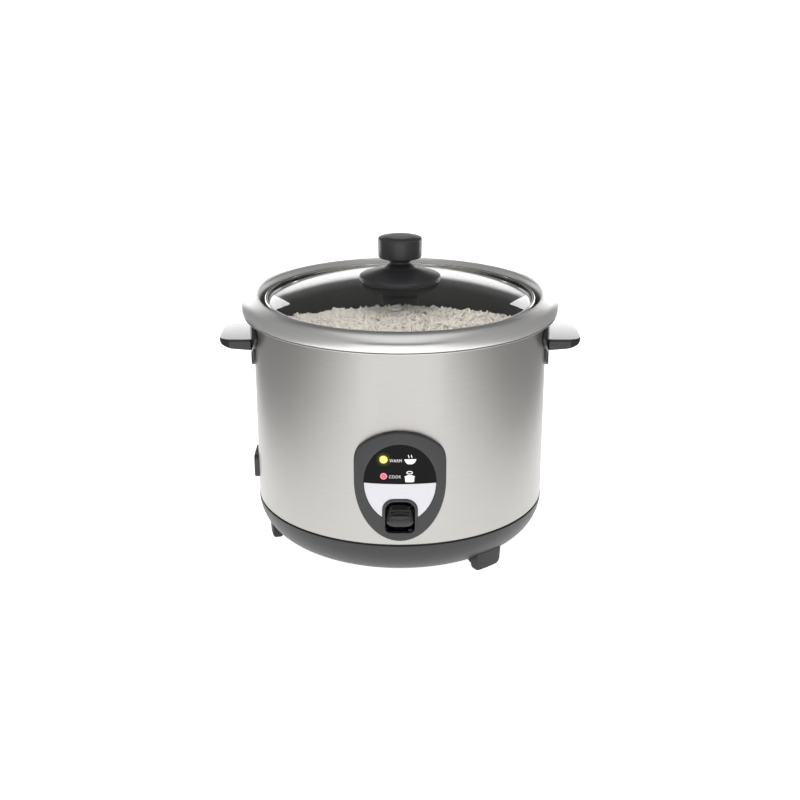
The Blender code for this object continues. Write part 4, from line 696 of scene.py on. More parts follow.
band_low, band_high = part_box("lid_band")
seat_z, band_top, band_r = band_low.z / MM, band_high.z / MM, band_high.x / MM
lip_end = dome(band_r - 3) + 0.45
band = turned("steel_band", rounded([
    (band_r - 6, seat_z, 0.3), (band_r, seat_z, 0.8), (band_r, band_top, 1.5),
    (band_r - 2.8, band_top - 0.3, 0.4), (band_r - 3, lip_end, 0.2), (band_r - 2.1, lip_end, 0.2),
    (band_r - 1.9, band_top - 1.2, 0.3), (band_r - 0.8, band_top - 1.2, 0.5),
    (band_r - 0.8, seat_z + 0.8, 0.2), (band_r - 6, seat_z + 0.8, 0.3)]), polished_band, 192)
keep(band, "lid", "polished_band", "lid_band")

# %% [markdown]
# ## The knob
# Flange, waist and grip in one moulding, so it is turned too. Small fillets at every edge catch
# thin lines of light, which is how the eye reads a moulded edge.

# %% Knob and washer
knob = turned("moulded_knob", rounded([
    (0, apex + 14.3, 0), (2.3, apex + 14.3, 0), (2.3, apex + 0.3, 0), (18, dome(18) + 0.45, 0),
    (36.5, dome(36.5) + 0.45, 0.3), (36.5, apex + 2.7, 1.1), (25, apex + 6, 9),
    (14.8, apex + 9.2, 5), (9.4, apex + 15, 3.5), (10.6, apex + 18.2, 2),
    (19.4, apex + 19.7, 1.2), (19.7, apex + 37.1, 1.5), (12, apex + 38.2, 6),
    (0, apex + 38.4, 0)], 5), black_phenolic, 96)
keep(knob, "lid", "black_plastic", "lid_knob", sharp=45)
washer_low, washer_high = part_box("knob_washer")
washer = turned("steel_washer", rounded([
    (2.3, washer_low.z / MM, 0.2), (17.6, washer_low.z / MM, 0.4),
    (17.6, washer_high.z / MM, 0.4), (2.3, washer_high.z / MM, 0.2)]), polished_band, 64)
keep(washer, "lid", "spun_aluminium", "knob_washer")

# %% [markdown]
# ## Screws
# All the screws are the same zinc-plated pan head with a cross recess. One is modelled once,
# and a node tree sets a copy on every point of a set, turned to that point's own direction,
# which the points carry as an attribute.

# %% One screw
def pan_head_screw(length):
    """A screw whose head bears at its origin and whose shank runs along +Z."""
    outline = rounded([(0, -2.2, 0), (3.6, -2.2, 1.5), (3.6, 0, 0.3), (2, 0, 0), (2, length, 0.5),
                       (0, length, 0)])
    screw = turned("screw", outline, zinc_steel, 24)
    for a, b in ((1.9, 0.4), (0.4, 1.9)):
        combine(screw, [block((-a * MM, -b * MM, -3 * MM), (a * MM, b * MM, -1.2 * MM))])
    shade(screw.data)
    return screw


setting, given, result = new_tree("screws_on_points", (("Screw", "Object"),
                                                       ("Material", "Material")))
direction = add(setting, "GeometryNodeInputNamedAttribute", {"Name": "direction"},
                data_type="FLOAT_VECTOR")
aimed = add(setting, "FunctionNodeAlignRotationToVector",
            {"Vector": direction.outputs[0]}, axis="Z")
shape = add(setting, "GeometryNodeObjectInfo", {"Object": given["Screw"]})
copies = add(setting, "GeometryNodeInstanceOnPoints", {
    "Points": given["Geometry"], "Instance": shape.outputs["Geometry"],
    "Rotation": aimed.outputs[0]})
end_tree(setting, copies.outputs[0], given["Material"], result)


def set_screws(name, body, length, places, nodes_replaced):
    """Places are (point, direction) pairs."""
    screw = pan_head_screw(length)
    mesh = bpy.data.meshes.new(name)
    mesh.from_pydata([tuple(point) for point, _ in places], [], [])
    mesh.attributes.new("direction", "FLOAT_VECTOR", "POINT")
    for value, (_, way) in zip(mesh.attributes["direction"].data, places):
        value.vector = way
    obj = run_nodes(new_object(name, mesh), setting, Screw=screw, Material=zinc_steel)
    bpy.data.objects.remove(screw)
    keep(obj, body, "zinc_steel", *nodes_replaced)


def head_face(node, axis, side):
    """The middle of a screw's box, moved to the face under its head."""
    low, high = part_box(node)
    point = (low + high) / 2
    point[axis] = (low if side < 0 else high)[axis] - side * 2.2 * MM
    return point


up = Vector((0, 0, 1))
for name, count in (("base_screw", 3), ("hot_plate_screw", 3)):
    names = [f"{name}_{k}" for k in range(1, count + 1)]
    set_screws(name + "s_set", "housing", 11 if name == "base_screw" else 12,
               [(head_face(n, 2, -1), up) for n in names], names)
names = [f"handle_screw_{side}_{end}" for side in ("left", "right") for end in ("front", "rear")]
places = []
for n in names:
    side = -1 if "left" in n else 1
    places.append((head_face(n, 0, -side), Vector((side, 0, 0))))
set_screws("handle_screws_set", "housing", 12.5, places, names)
low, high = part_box("knob_screw")
set_screws("knob_screw_set", "lid", (high.z - low.z) / MM - 2.2,
           [(head_face("knob_screw", 2, -1), up)], ["knob_screw"])

# %% [markdown]
# ## Pieces that follow the drum
# Plates, labels and handles bear on a round wall. They are built flat, where an outline is easy
# to draw: x is the length along the drum, -y the distance from the axis. Then the flat piece is
# sliced upright every few millimetres and rolled round the drum.

# %% Flat plates rolled round the drum
def inset(outline, distance):
    """Move an anticlockwise outline inwards."""
    moved = []
    for before, point, after in zip(outline[-1:] + outline, outline, outline[1:] + outline[:1]):
        along = (Vector(after) - Vector(before)).normalized()
        moved.append((point[0] - along.y * distance, point[1] + along.x * distance))
    return moved


def plate(name, outline, inner, outer, material=None, fillet=0.0, steps=4):
    """A flat plate in mm between two distances from the axis, its outer edge rounded."""
    sections = [[(x, -inner, z) for x, z in outline]]
    for k in range(steps + 1 if fillet else 1):
        turn = pi / 2 * k / steps
        sections.append([(x, fillet * (1 - sin(turn)) - outer, z)
                         for x, z in inset(outline, fillet * (1 - cos(turn)))])
    return lofted(name, [[Vector(p) * MM for p in s] for s in sections], material)


def roll(obj, step=2.5 * MM):
    """Slice a flat piece upright and bend it round the drum."""
    bm = bmesh.new()
    bm.from_mesh(obj.data)
    count = int(max(abs(v.co.x) for v in bm.verts) / step)
    for k in range(-count, count + 1):
        bmesh.ops.bisect_plane(bm, geom=bm.verts[:] + bm.edges[:] + bm.faces[:], dist=1e-6,
                               plane_co=(k * step, 0, 0), plane_no=(1, 0, 0))
    bmesh.ops.triangulate(bm, faces=[f for f in bm.faces if len(f.verts) > 4])
    for v in bm.verts:
        angle, distance = v.co.x / DRUM_RADIUS, -v.co.y
        v.co = (distance * sin(angle), -distance * cos(angle), v.co.z)
    bm.to_mesh(obj.data)
    bm.free()
    return obj


def mirrored(right_half):
    """A closed outline from its right half, drawn from the lowest point to the highest."""
    return right_half + [(-x, z) for x, z in reversed(right_half) if x > 0.001]


print("one degree round the drum is", round(DRUM_RADIUS / MM * pi / 180, 2), "mm")

# %% [markdown]
# ## The control panel
# A charcoal moulding, arched above and rounded below, about 3.5 mm proud of the drum. An oval
# pocket holds two printed plates. A raised frame with a window surrounds the cook paddle.

# %% Panel
SPLIT = 99.6
panel_back = DRUM_RADIUS / MM + 0.3
panel_face = panel_back + 3.5
pocket_floor = panel_face - 1.2


def panel_outline(steps=40):
    half_width, centre, arch_r, peak = 38.8, 100.0, 49.0, 146.0
    lower = arc((0, centre), (half_width, 53.5), -90, 0, steps)
    shoulder = degrees(acos(0.86 * half_width / arch_r))
    arch = arc((0, peak - arch_r), (arch_r, arch_r), shoulder, 90, steps // 2)
    first, last = Vector((half_width, centre + 16)), Vector(arch[0])
    knee = Vector((half_width, last.y - 4))
    bend = []
    for k in range(1, 10):
        t = k / 10
        bend.append(tuple(first * (1 - t) ** 2 + knee * 2 * t * (1 - t) + last * t * t))
    half = [(max(x, 0.0), z) for x, z in lower + [tuple(first)] + bend + arch]
    half[0], half[-1] = (0.0, half[0][1]), (0.0, half[-1][1])
    return mirrored(half)


def label_outline(shrink=0.0):
    return arc((0, SPLIT), (30.2 - shrink, 35.6 - shrink), -90, 270, 120)[:-1]


def switch_outline(half_width, bottom, top, corner):
    low = arc((half_width - corner / 2, bottom + corner / 2), (corner / 2, corner / 2), -90, 0, 8)
    high = arc((half_width - corner, top - corner), (corner, corner), 0, 90, 14)
    return low + high + [(-x, z) for x, z in reversed(low + high)]


def frame_outline(grow=0.0):
    return switch_outline(14.5 + grow, 54.0, 85.8 + grow, 10 + grow)


panel = plate("moulded_panel", panel_outline(), panel_back, panel_face, charcoal_abs, 1.6, 5)
pocket = plate("pocket", label_outline(), pocket_floor, panel_face + 2)
combine(pocket, [plate("frame", frame_outline(), panel_back, panel_face + 4)])
combine(panel, [pocket])
ridge = plate("ridge", frame_outline(), pocket_floor - 1, panel_face + 0.6, None, 0.7, 4)
combine(panel, [ridge], "UNION")
combine(panel, [plate("window", switch_outline(12.3, 54.5, 83.6, 8.5), panel_back - 2,
                      panel_face + 3)])
roll(panel)
lamp_turn = -13.5 / 132.5 * 180 / pi
lamp_holes = [(warm_centre.z, 3.8 * MM), (cook_centre.z, 3.3 * MM)]
combine(panel, [rod(on_drum(0.124, lamp_turn, z), on_drum(0.140, lamp_turn, z), r)
                for z, r in lamp_holes])
close_up(panel.data)
keep(panel, "housing", "charcoal_plastic", "control_bezel", sharp=35)

# %% [markdown]
# ## The printed plates
# Two sheets share the pocket: black above with the lamps, silver below around the switch. Each
# is the same oval cut at the dividing line, so one outline serves both, and their edges meet.

# %% Printed plates
inner, outer = pocket_floor + 0.3, pocket_floor + 0.9
upper = plate("printed_plate_black", label_outline(0.3), inner, outer, black_print_painted_glow, 0.15, 1)
combine(upper, [block((-0.04, -0.14, 0.05), (0.04, -0.13, (SPLIT + 0.15) * MM))])
roll(upper)
combine(upper, [rod(on_drum(0.124, lamp_turn, z), on_drum(0.140, lamp_turn, z), r)
                for z, r in lamp_holes])
keep(upper, "housing", "label_black", "label_plate_upper")
lower = plate("printed_plate_silver", label_outline(0.3), inner, outer, silver_print, 0.15, 1)
combine(lower, [block((-0.04, -0.14, (SPLIT - 0.15) * MM), (0.04, -0.13, 0.15)),
                plate("frame", frame_outline(0.3), inner - 1, outer + 1)])
roll(lower)
keep(lower, "housing", "label_silver", "label_plate_lower")

# %% [markdown]
# ## Words and signs
# The plate carries only the two plain words for its lamps and a sign for each: a steaming bowl
# and a pot on the boil. The signs are drawn here from scratch. Type and outlines are made flat,
# given 0.08 mm of ink so that they can't flicker against the plate, and rolled on to the drum.

# %% Words and signs
ink_back, ink_face = outer - 0.05, outer + 0.08


def word(text, left, middle, height, width):
    """A word as a flat mesh in (arc, height) millimetres, stretched to its box."""
    curve = bpy.data.curves.new(text, "FONT")
    curve.body, curve.resolution_u, curve.space_character, curve.offset = text, 3, 1.15, -0.008
    curve.extrude = 0.5
    obj = new_object(text, curve)
    bpy.context.view_layer.update()
    mesh = bpy.data.meshes.new_from_object(obj.evaluated_get(
        bpy.context.evaluated_depsgraph_get()))
    bpy.data.objects.remove(obj)
    xs, ys = [v.co.x for v in mesh.vertices], [v.co.y for v in mesh.vertices]
    for v in mesh.vertices:
        x = left + (v.co.x - min(xs)) / (max(xs) - min(xs)) * width
        z = middle + ((v.co.y - min(ys)) / (max(ys) - min(ys)) - 0.5) * height
        y = -(ink_face if v.co.z > 0 else ink_back)
        v.co = Vector((x, y, z)) * MM
    return new_object(text, mesh)


def ink(outline):
    return plate("sign", outline, ink_back, ink_face)


def stroke(points, width):
    """A line of ink along points, from its two sides."""
    left, right = [], []
    for before, point, after in zip(points[:1] + points, points, points[1:] + points[-1:]):
        along = (Vector(after) - Vector(before)).normalized() * width / 2
        left.append((point[0] - along.y, point[1] + along.x))
        right.append((point[0] + along.y, point[1] - along.x))
    return ink(right + left[::-1])


def steam(x, z, rise):
    """A small wave of steam."""
    return stroke([(x + 0.35 * sin(k / 8 * 2 * pi), z + rise * k / 8) for k in range(9)], 0.55)


signs = [word("WARM", -8.6, 120.7, 2.7, 10.0), word("COOK", -9.0, 106.2, 2.7, 9.8)]
signs.append(ink([(6.4, 117.6), (10.4, 117.6), (12.0, 119.0), (13.2, 121.2), (13.2, 122.0),
                  (3.6, 122.0), (3.6, 121.2), (4.8, 119.0)]))
signs += [steam(7.0, 123.2, 2.6), steam(9.4, 123.2, 2.6)]
signs.append(ink(switch_outline(3.7, 101.3, 107.6, 2.3)))
signs.append(stroke([(-4.2, 106.2), (4.2, 106.2)], 1.0))
signs.append(stroke(arc((0, 109.9), (2.3, 1.2), 0, 350, 20), 0.7))
for obj in signs[-3:]:
    obj.data.transform(Matrix.Translation((7.9 * MM, 0, 0)))
for obj in signs:
    roll(obj)
sign = signs[0]
with bpy.context.temp_override(active_object=sign, selected_editable_objects=signs):
    bpy.ops.object.join()
sign.name = "function_signs"
close_up(sign.data)
sign.data.materials.clear()
sign.data.materials.append(sign_print)
keep(sign, "housing", "label_silver")

# %% [markdown]
# ## The lamps' lenses
# Two small domed plugs of clear plastic, pushed through the panel. They are turned about their
# own axis and then aimed outwards through the holes in the plate.

# %% Lamps' lenses
for name, centre, radius, material, slot in (
        ("warm_lamp_lens", warm_centre, 3.5, amber_lens, "lens_amber"),
        ("cook_lamp_lens", cook_centre, 3.0, red_lens, "lens_red")):
    length = panel_face + 0.3 - panel_back - 0.3
    lens = turned(name + "_domed", rounded([
        (0, 0, 0), (radius, 0, 0), (radius, length - 0.5, 0.5), (radius * 0.6, length + 0.05, 2),
        (0, length + 0.2, 0)]), material, 48)
    outward = on_drum(1, lamp_turn, 0)
    place = Matrix.Translation(on_drum((panel_back + 0.3) * MM, lamp_turn, centre.z))
    lens.data.transform(place @ outward.to_track_quat("Z", "Y").to_matrix().to_4x4())
    keep(lens, "housing", slot, name)

# %% [markdown]
# ## The cook paddle
# It is pushed down with one finger, so its face slopes back and carries a shallow oval dish with
# a raised rim. The body is lofted from side outlines that shrink towards both ends, and the rim
# is a thin tube laid on the same face by the same rule.

# %% Cook paddle
paddle_low, paddle_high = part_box("cook_paddle")
half_width = 11.5
low_z, high_z = 60.0, 79.0
nose_y, back_y = 138.5, 131.8
PROFILE = ((0.0022, 0.0), (0.0008, 0.05), (0.0, 0.13), (0.0, 0.24), (0.0012, 0.5),
           (0.0034, 0.8), (0.0052, 0.98))


def paddle_face(x, share):
    """Distance of the face from the axis and its height, at a share of the paddle's height."""
    fall = 1 - sqrt(max(0.0, 1 - (abs(x) / half_width) ** 4))
    low, high, nose = low_z + 4 * fall, high_z - 7 * fall, nose_y - 2.5 * fall
    for (d0, s0), (d1, s1) in zip(PROFILE, PROFILE[1:]):
        if share <= s1:
            t = max(0.0, (share - s0) / (s1 - s0))
            t = t * t * (3 - 2 * t) * 0.5 + t * 0.5
            return nose - (d0 + (d1 - d0) * t) / MM, low + share * (high - low)
    return nose - PROFILE[-1][0] / MM, low + share * (high - low)


shares = [k / 32 * 0.98 for k in range(33)]
sections = []
for k in range(41):
    x = half_width * sin(pi / 2 * (k / 20 - 1))
    fall = 1 - sqrt(max(0.0, 1 - (abs(x) / half_width) ** 4))
    face = [paddle_face(x, s) for s in shares]
    side = [(back_y, face[0][1] + 0.6)] + face + [(back_y, face[-1][1] + 0.3)]
    sections.append([Vector((x, -d, z)) * MM for d, z in side])
paddle = lofted("moulded_paddle", sections, polished_phenolic)
combine(paddle, [block((-4 * MM, -back_y * MM - MM, 61 * MM), (4 * MM, -0.1280, 67 * MM))],
        "UNION")
ring = []
dish_half, dish_mid, dish_rise = 9.3, 70.0, 3.2
for x, z in arc((0, dish_mid), (dish_half, dish_rise), 0, 360, 64)[:-1]:
    fall = 1 - sqrt(max(0.0, 1 - (abs(x) / half_width) ** 4))
    low, high = low_z + 4 * fall, high_z - 7 * fall
    distance, height = paddle_face(x, (z - low) / (high - low))
    ring.append(Vector((x, -distance - 0.05, height)) * MM)
verts, faces, sides = [], [], 10
for i, point in enumerate(ring):
    along = (ring[(i + 1) % len(ring)] - ring[i - 1]).normalized()
    out = Vector((0, -1, 0.15)).normalized()
    across = along.cross(out).normalized()
    verts += [point + (out * cos(a) + across * sin(a)) * 0.5 * MM
              for a in (2 * pi * k / sides for k in range(sides))]
for i in range(len(ring)):
    for k in range(sides):
        a, b = i * sides + k, i * sides + (k + 1) % sides
        c, d = ((i + 1) % len(ring)) * sides, ((i + 1) % len(ring)) * sides
        faces.append((a, b, d + (k + 1) % sides, c + k))
mesh = bpy.data.meshes.new("dish_rim")
mesh.from_pydata(verts, [], faces)
close_up(mesh)
combine(paddle, [new_object("dish_rim", mesh)], "UNION")
keep(paddle, "cook_lever", "black_plastic", "cook_paddle", sharp=40)
print("paddle box in the CAD:", [round(v / MM, 1) for v in (*paddle_low, *paddle_high)])

# %% [markdown]
# ## The side handles
# Grip and mounting plate are one moulding in black phenolic. The grip thins and rounds off
# towards its end, and the plate spreads to two ears that hug the drum.

# %% Handles
grip_top, reach_end, grip_half = 192.7, 162.2, 28.0


def smooth_through(values, steps):
    """Catmull-Rom values between the stations of a list of tuples."""
    padded = [values[0]] + list(values) + [values[-1]]
    out = []
    for a, b, c, d in zip(padded, padded[1:], padded[2:], padded[3:]):
        for k in range(steps):
            t = k / steps
            out.append(tuple(0.5 * (2 * q + (r - p) * t + (2 * p - 5 * q + 4 * r - s) * t * t
                                    + (3 * q - p - 3 * r + s) * t ** 3)
                             for p, q, r, s in zip(a, b, c, d)))
    return out + [tuple(values[-1])]


def ear_outline():
    low, top = 166.0, 212.4
    waist, ear = grip_half - 1.5, grip_half + 15
    half = [(0.01, low), (16, low), (22, low + 3), (24, low + 8), (waist, low + 15),
            (waist + 7.5, low + 20), (ear - 2.5, low + 25), (ear, low + 30.5),
            (ear - 2.5, low + 37), (ear - 7, low + 42), (ear - 9, top)]
    return mirrored([(0, low)] + smooth_through(half, 4) + [(0, top)])


def grip_section(reach, half, bottom, corner):
    points = arc((half - corner, bottom + corner), (corner, corner), -90, 0, 6)
    points += arc((half - corner, grip_top - corner), (corner, corner), 0, 90, 6)
    points += [(-x, z) for x, z in reversed(points)]
    return [Vector((x, -reach, z)) * MM for x, z in points]


def handle(name, azimuth, node):
    obj = plate(name, ear_outline(), panel_back, panel_back + 3, polished_phenolic, 1.2, 4)
    roll(obj)
    stations = smooth_through([
        (133.6, 28, 10.2, 1.8), (150.2, 28, 8.8, 1.8), (154.6, 27.5, 7.8, 1.8),
        (158.2, 25.8, 6.5, 1.8), (160.7, 23.2, 5.1, 1.6), (reach_end, 19.5, 3.6, 1.3)], 8)
    grip = lofted("grip", [grip_section(r, half, grip_top - deep, min(corner, deep * 0.45))
                           for r, half, deep, corner in stations])
    shell = lofted("drum_space", [[on_drum(panel_back * MM, a * 1.5, z) for a in range(240)]
                                  for z in (0.15, 0.23)])
    combine(grip, [shell])
    combine(obj, [grip], "UNION")
    combine(obj, [rod((x * MM, -0.125, 0.188), (x * MM, -0.145, 0.188), 2.4 * MM)
                  for x in (-15, 15)])
    obj.data.transform(Matrix.Rotation(radians(azimuth), 4, "Z"))
    close_up(obj.data)
    keep(obj, "housing", "black_plastic", node, sharp=35)


handle("moulded_handle_right", 90, "handle_right")
handle("moulded_handle_left", -90, "handle_left")

# %% [markdown]
# ## The power inlet
# A flanged socket low on the left side. Its flange is rounded like the connector that plugs into
# it, and its back is cut to the drum's curve.

# %% Power inlet
inlet_z, face_x = 65.2, 136.2
flange_half, flange_rise = 15.6, 11.6
shape = arc((flange_half - 5, -flange_rise + 5), (5, 5), -90, 0, 8)
shape += arc((flange_half - 5, flange_rise - 5), (5, 5), 0, 90, 8)
shape += [(-y, z) for y, z in reversed(shape)]
shape = [(y, z + inlet_z) for y, z in shape]
levels = [(124.5, 0)] + [(face_x - 1.2 * (1 - sin(pi / 8 * k)), 1.2 * (1 - cos(pi / 8 * k)))
                         for k in range(5)]
inlet = lofted("moulded_inlet", [[Vector((-d, y, z)) * MM for y, z in inset(shape, i)]
                                 for d, i in levels], black_phenolic)
combine(inlet, [lofted("drum_space", [[on_drum(panel_back * MM, a * 1.5, z) for a in range(240)]
                                      for z in (0.02, 0.12)])])


def socket_block(x0, x1, half_y, half_z):
    """A block along the socket's depth, given by distances from the axis in mm."""
    return block((-x0 * MM, -half_y * MM, (inlet_z - half_z) * MM),
                 (-x1 * MM, half_y * MM, (inlet_z + half_z) * MM))


combine(inlet, [socket_block(face_x - 1, 117, 14, 10)], "UNION")
combine(inlet, [socket_block(face_x + 1, 119.5, 12.2, 8.2)])
pins = {"inlet_pin_line": (-7.0, -2.0), "inlet_pin_earth": (0.0, 2.5),
        "inlet_pin_neutral": (7.0, -2.0)}
combine(inlet, [block((-0.1200, (y - 1.3) * MM, (inlet_z + z - 2.3) * MM),
                      (-0.1160, (y + 1.3) * MM, (inlet_z + z + 2.3) * MM))
                for y, z in pins.values()])
close_up(inlet.data)
keep(inlet, "housing", "black_plastic", "inlet_housing", sharp=35)

# %% [markdown]
# ## The rice
# Cooked rice is a soft mound with grains lying every way on it. The mound is one lumpy solid
# that fills the pot. Grains are scattered over its top by Geometry Nodes: random points, one
# plain grain copied to each, turned and sized at random from a fixed seed. The grain has only a
# few dozen faces, because thousands are used.

# %% Rice mound
def rice_top(x, y):
    """Height of the mound in mm at a place in mm, with lumps."""
    reach = sqrt(x * x + y * y)
    crown = 212.0 - 9.0 * (reach / 93) ** 2 if reach < 93 else 203.0 - 3.5 * (reach - 93) / 23
    lump = noise.noise(Vector((x / 17, y / 17, 3.1))) * 2.6
    crumb = noise.noise(Vector((x / 6, y / 6, 8.7))) * 1.3
    fall = 0.36 * max(0.0, y - 6.0)
    return crown - 1.5 - fall + lump + crumb


rings, spokes = 40, 120
rice_wall = 116.0
bm = bmesh.new()
levels = [[bm.verts.new(Vector((0, 0, rice_top(0, 0))) * MM)] * spokes]
for k in range(1, rings + 1):
    r = rice_wall * k / rings
    level = []
    for i in range(spokes):
        a = 2 * pi * i / spokes
        x, y = r * cos(a), r * sin(a)
        level.append(bm.verts.new(Vector((x, y, rice_top(x, y))) * MM))
    levels.append(level)
for r, z in ((rice_wall, 101), (112, 92), (103, 85.2)):
    levels.append([bm.verts.new(Vector((r * cos(a), r * sin(a), z)) * MM)
                   for a in (2 * pi * i / spokes for i in range(spokes))])
for inner_level, outer_level in zip(levels, levels[1:]):
    for i in range(spokes):
        j = (i + 1) % spokes
        quad = dict.fromkeys((inner_level[i], outer_level[i], outer_level[j], inner_level[j]))
        bm.faces.new(list(quad))
bm.faces.new(levels[-1][::-1])
bmesh.ops.recalc_face_normals(bm, faces=bm.faces[:])
mesh = bpy.data.meshes.new("rice_mound")
bm.to_mesh(mesh)
bm.free()
mesh.materials.append(cooked_rice)
mound = new_object("rice_mound", mesh)

# %% [markdown]
# The grains lie in two layers: one that rests flat in the mound, and one that has tumbled on
# top and stands at steeper angles. Both layers are one node tree with other inputs.

# %% Rice grains
LOWEST_GRAIN = 150 * MM
bm = bmesh.new()
bmesh.ops.create_uvsphere(bm, u_segments=6, v_segments=5, radius=0.5)
bmesh.ops.transform(bm, matrix=Matrix.Diagonal((9.4 * MM, 2.9 * MM, 2.6 * MM, 1))
                    @ Matrix.Rotation(pi / 2, 4, "Y"), verts=bm.verts)
mesh = bpy.data.meshes.new("grain")
bm.to_mesh(mesh)
bm.free()
mesh.shade_smooth()
grain = new_object("grain", mesh)

scatter, given, result = new_tree("scattered_grains", (
    ("Grain", "Object"), ("Spacing", "Float"), ("Reach", "Float"), ("Lift", "Float"),
    ("Tilt", "Float"), ("Seed", "Int"), ("Material", "Material")))
points = add(scatter, "GeometryNodeDistributePointsOnFaces", {
    "Mesh": given["Geometry"], "Distance Min": given["Spacing"], "Density Max": 4e5,
    "Seed": given["Seed"]}, distribute_method="POISSON")
here = add(scatter, "GeometryNodeInputPosition").outputs[0]
flat = add(scatter, "ShaderNodeVectorMath", {0: here, 1: (1, 1, 0)}, operation="MULTIPLY")
away = add(scatter, "ShaderNodeVectorMath", {0: flat.outputs[0]}, operation="LENGTH")
too_far = add(scatter, decimal, {0: away.outputs["Value"], 1: given["Reach"]},
              operation="GREATER_THAN").outputs[0]
height = add(scatter, "ShaderNodeSeparateXYZ", {0: here}).outputs["Z"]
too_low = add(scatter, decimal, {0: height, 1: LOWEST_GRAIN}, operation="LESS_THAN").outputs[0]
outside_pot = add(scatter, decimal, {0: too_far, 1: too_low}, operation="MAXIMUM")
near = add(scatter, "GeometryNodeDeleteGeometry", {
    "Geometry": points.outputs["Points"], "Selection": outside_pot.outputs[0]})
lifts = add(scatter, "FunctionNodeRandomValue", {
    "Min": (0, 0, -0.6 * MM), "Max": (0, 0, 0), "Seed": given["Seed"]}, data_type="FLOAT_VECTOR")
raised = add(scatter, "ShaderNodeVectorMath", {0: lifts.outputs[0], 1: add(
    scatter, "ShaderNodeCombineXYZ", {"Z": given["Lift"]}).outputs[0]}, operation="ADD")
lifted = add(scatter, "GeometryNodeSetPosition", {"Geometry": near.outputs[0],
                                                  "Offset": raised.outputs[0]})
low_tilt = add(scatter, decimal, {0: given["Tilt"], 1: -1.0}, operation="MULTIPLY").outputs[0]
turn_seed, size_seed = [
    add(scatter, whole, {0: given["Seed"], 1: k}, operation="ADD").outputs[0] for k in (1, 2)]
turns = add(scatter, "FunctionNodeRandomValue", {
    "Min": add(scatter, "ShaderNodeCombineXYZ", {"X": -pi, "Y": low_tilt, "Z": -pi}).outputs[0],
    "Max": add(scatter, "ShaderNodeCombineXYZ", {"X": pi, "Y": given["Tilt"],
                                                 "Z": pi}).outputs[0],
    "Seed": turn_seed}, data_type="FLOAT_VECTOR")
sizes = add(scatter, "FunctionNodeRandomValue", {2: 0.85, 3: 1.1, "Seed": size_seed},
            data_type="FLOAT")
copies = add(scatter, "GeometryNodeInstanceOnPoints", {
    "Points": lifted.outputs[0], "Rotation": turns.outputs[0], "Scale": sizes.outputs[1],
    "Instance": add(scatter, "GeometryNodeObjectInfo",
                    {"Object": given["Grain"]}).outputs["Geometry"]})
end_tree(scatter, copies.outputs[0], given["Material"], result)

for name, lift, tilt, seed in (("rice_grains_lying", 0.5 * MM, 0.4, 11),
                               ("rice_grains_tumbled", 1.9 * MM, 0.9, 47)):
    grains = run_nodes(new_object(name, mound.data.copy()), scatter, Grain=grain,
                       Spacing=3.5 * MM, Reach=112 * MM, Lift=lift, Tilt=tilt, Seed=seed,
                       Material=cooked_rice)
    keep(grains, "inner_pot", "white_insulator", sharp=80)
keep(mound, "inner_pot", "white_insulator", sharp=60)
bpy.data.objects.remove(grain)

# %% [markdown]
# ## The hidden works
# The hot plate, element, thermostat, lever, wires and pins keep their CAD shapes. Each gets the
# finish that the real piece has, because the pot and lid lift off and show them. The lever's
# near-black steel is the exception: it is painted shade for the gap behind the paddle.

# %% Finishes for the CAD nodes that stay
works = {
    cast_aluminium: ["hot_plate"],
    drawn_tube: ["heating_element"],
    pot_outside: ["sensor_cap"],
    zinc_steel: ["sensor_sleeve", "sensor_spring", "magnet_rod", "base_post_1",
                 "base_post_2", "base_post_3"],
    painted_shade_steel: ["lever_arm", "pivot_pin", "lever_bracket"],
    # painted shade: the lever parts are kept near black for the dark gap behind the paddle
    black_phenolic: ["micro_switch"],
    brass: ["inlet_pin_line", "inlet_pin_earth", "inlet_pin_neutral", "thermal_fuse"],
    white_insulator: ["terminal_block", "lamp_holder", "keep_warm_heater"],
    silicone_red: ["wire_line", "wire_neutral", "wire_earth", "wire_element_near",
                   "wire_element_far"],
    lamp_glass: ["warm_lamp", "cook_lamp"],
}
for material, names in works.items():
    for name in names:
        for slot in nodes[name].material_slots:
            slot.material = material
print(sum(map(len, works.values())), "CAD nodes keep their shape")

# %% [markdown]
# ## Floor and light
# A white sweep fills the view. A softbox in front and above lights the scene, and a long one
# overhead is what the rim mirrors. Two flags at the sides fade from light to dark grey towards
# the back and give the steel its darker flanks. A small bright card stands behind each handle,
# where its flat top mirrors it. Only reflections see the flags and cards.

# %% Stage
sweep = finish("white_paper", "#f4f4f4", 0.9, Emission_Strength=0.97)
surface(sweep, 0.4, ("#f3f3f3", "#f6f6f6"), (0.88, 0.92))
sweep.node_tree.nodes["Principled BSDF"].inputs["Emission Color"].default_value = (1, 1, 1, 1)


def card(name, corners, material):
    """A flat card on the stage."""
    mesh = bpy.data.meshes.new(name)
    mesh.from_pydata(corners, [], [(0, 1, 2, 3)])
    mesh.materials.append(material)
    obj = new_object(name, mesh)
    return obj


def reflection_only(obj):
    obj.visible_camera = obj.visible_diffuse = obj.visible_shadow = False
    obj.visible_transmission = False


card("floor", [(-60, -30, 0), (60, -30, 0), (60, 90, 0), (-60, 90, 0)], sweep)

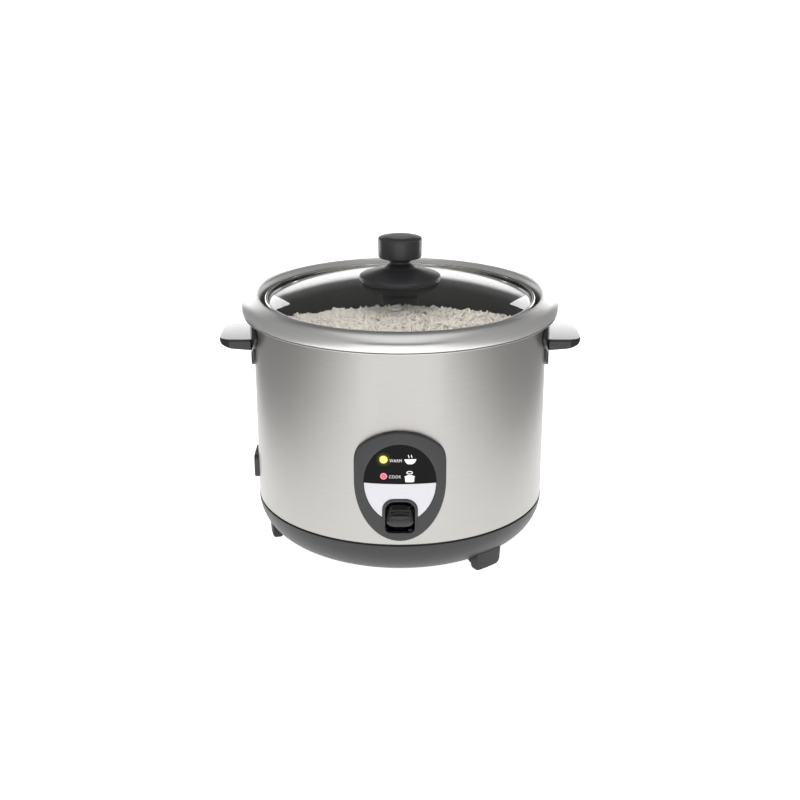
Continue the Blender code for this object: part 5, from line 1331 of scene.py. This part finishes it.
flag_grey = finish("grey_flag", "#000000", 0.9, Emission_Strength=1.0)
tree = flag_grey.node_tree
place = add(tree, "ShaderNodeTexCoord").outputs["Object"]
along = add(tree, "ShaderNodeSeparateXYZ", {0: place}).outputs["Y"]
share = add(tree, "ShaderNodeMapRange", {"Value": along, "From Min": -0.62, "From Max": 0.4})
ramp = add(tree, "ShaderNodeValToRGB", {"Fac": share.outputs["Result"]})
elements = ramp.color_ramp.elements
stops = ((0.0, 0.85), (0.25, 0.62), (0.5, 0.42), (1.0, 0.34))
while len(elements) < len(stops):
    elements.new(0.5)
for element, (spot, level) in zip(elements, stops):
    element.position, element.color = spot, (level, level, level, 1)
tree.links.new(ramp.outputs["Color"], tree.nodes["Principled BSDF"].inputs["Emission Color"])
glow_card = finish("white_card", "#ffffff", 0.9, Emission_Strength=2.2)
surface(glow_card, 0.2, ("#fafafa", "#ffffff"), (0.85, 0.95))
glow_card.node_tree.nodes["Principled BSDF"].inputs["Emission Color"].default_value = (1, 1, 1, 1)
for side, word_side in ((-1, "left"), (1, "right")):
    x = side * 0.32
    reflection_only(card("flag_" + word_side, [(x, -0.62, 0.0), (x, 0.4, 0.0), (x, 0.4, 0.8),
                                               (x, -0.62, 0.8)], flag_grey))
    inner_x, outer_x = side * 0.15, side * 0.24
    reflection_only(card("card_" + word_side, [(inner_x, 0.16, 0.2), (outer_x, 0.16, 0.2),
                                               (outer_x, 0.16, 0.31), (inner_x, 0.16, 0.31)],
                         glow_card))

for name, size, power, spot in (("softbox", (2.0, 2.0), 27, (0, -0.9, 1.7)),
                                ("overhead", (1.15, 2.6), 11.5, (0, -0.35, 1.75))):
    light = bpy.data.lights.new(name, "AREA")
    light.shape, light.energy = "RECTANGLE", power
    light.size, light.size_y = size
    lamp = bpy.data.objects.new(name, light)
    lamp.location = spot
    if name == "softbox":
        lamp.visible_glossy = False
        lamp.rotation_euler = (Vector((0, 0, 0.15)) - lamp.location).to_track_quat(
            "-Z", "Y").to_euler()
    bpy.context.collection.objects.link(lamp)

world = bpy.data.worlds.new("studio")
world.use_nodes = True
bpy.context.scene.world = world
tree = world.node_tree
way = add(tree, "ShaderNodeTexCoord").outputs["Generated"]
rise = add(tree, "ShaderNodeSeparateXYZ", {0: way}).outputs["Z"]
ramp = add(tree, "ShaderNodeValToRGB", {"Fac": rise})
elements = ramp.color_ramp.elements
levels = ((0.0, 1.5), (0.15, 1.5), (0.22, 0.2), (0.35, 0.08), (1.0, 0.08))
while len(elements) < len(levels):
    elements.new(0.5)
for element, (spot, level) in zip(elements, levels):
    element.position, element.color = spot, (level, level, level, 1)
tree.links.new(ramp.outputs["Color"], tree.nodes["Background"].inputs["Color"])
bpy.context.scene.view_settings.view_transform = "Standard"
print("stage set")
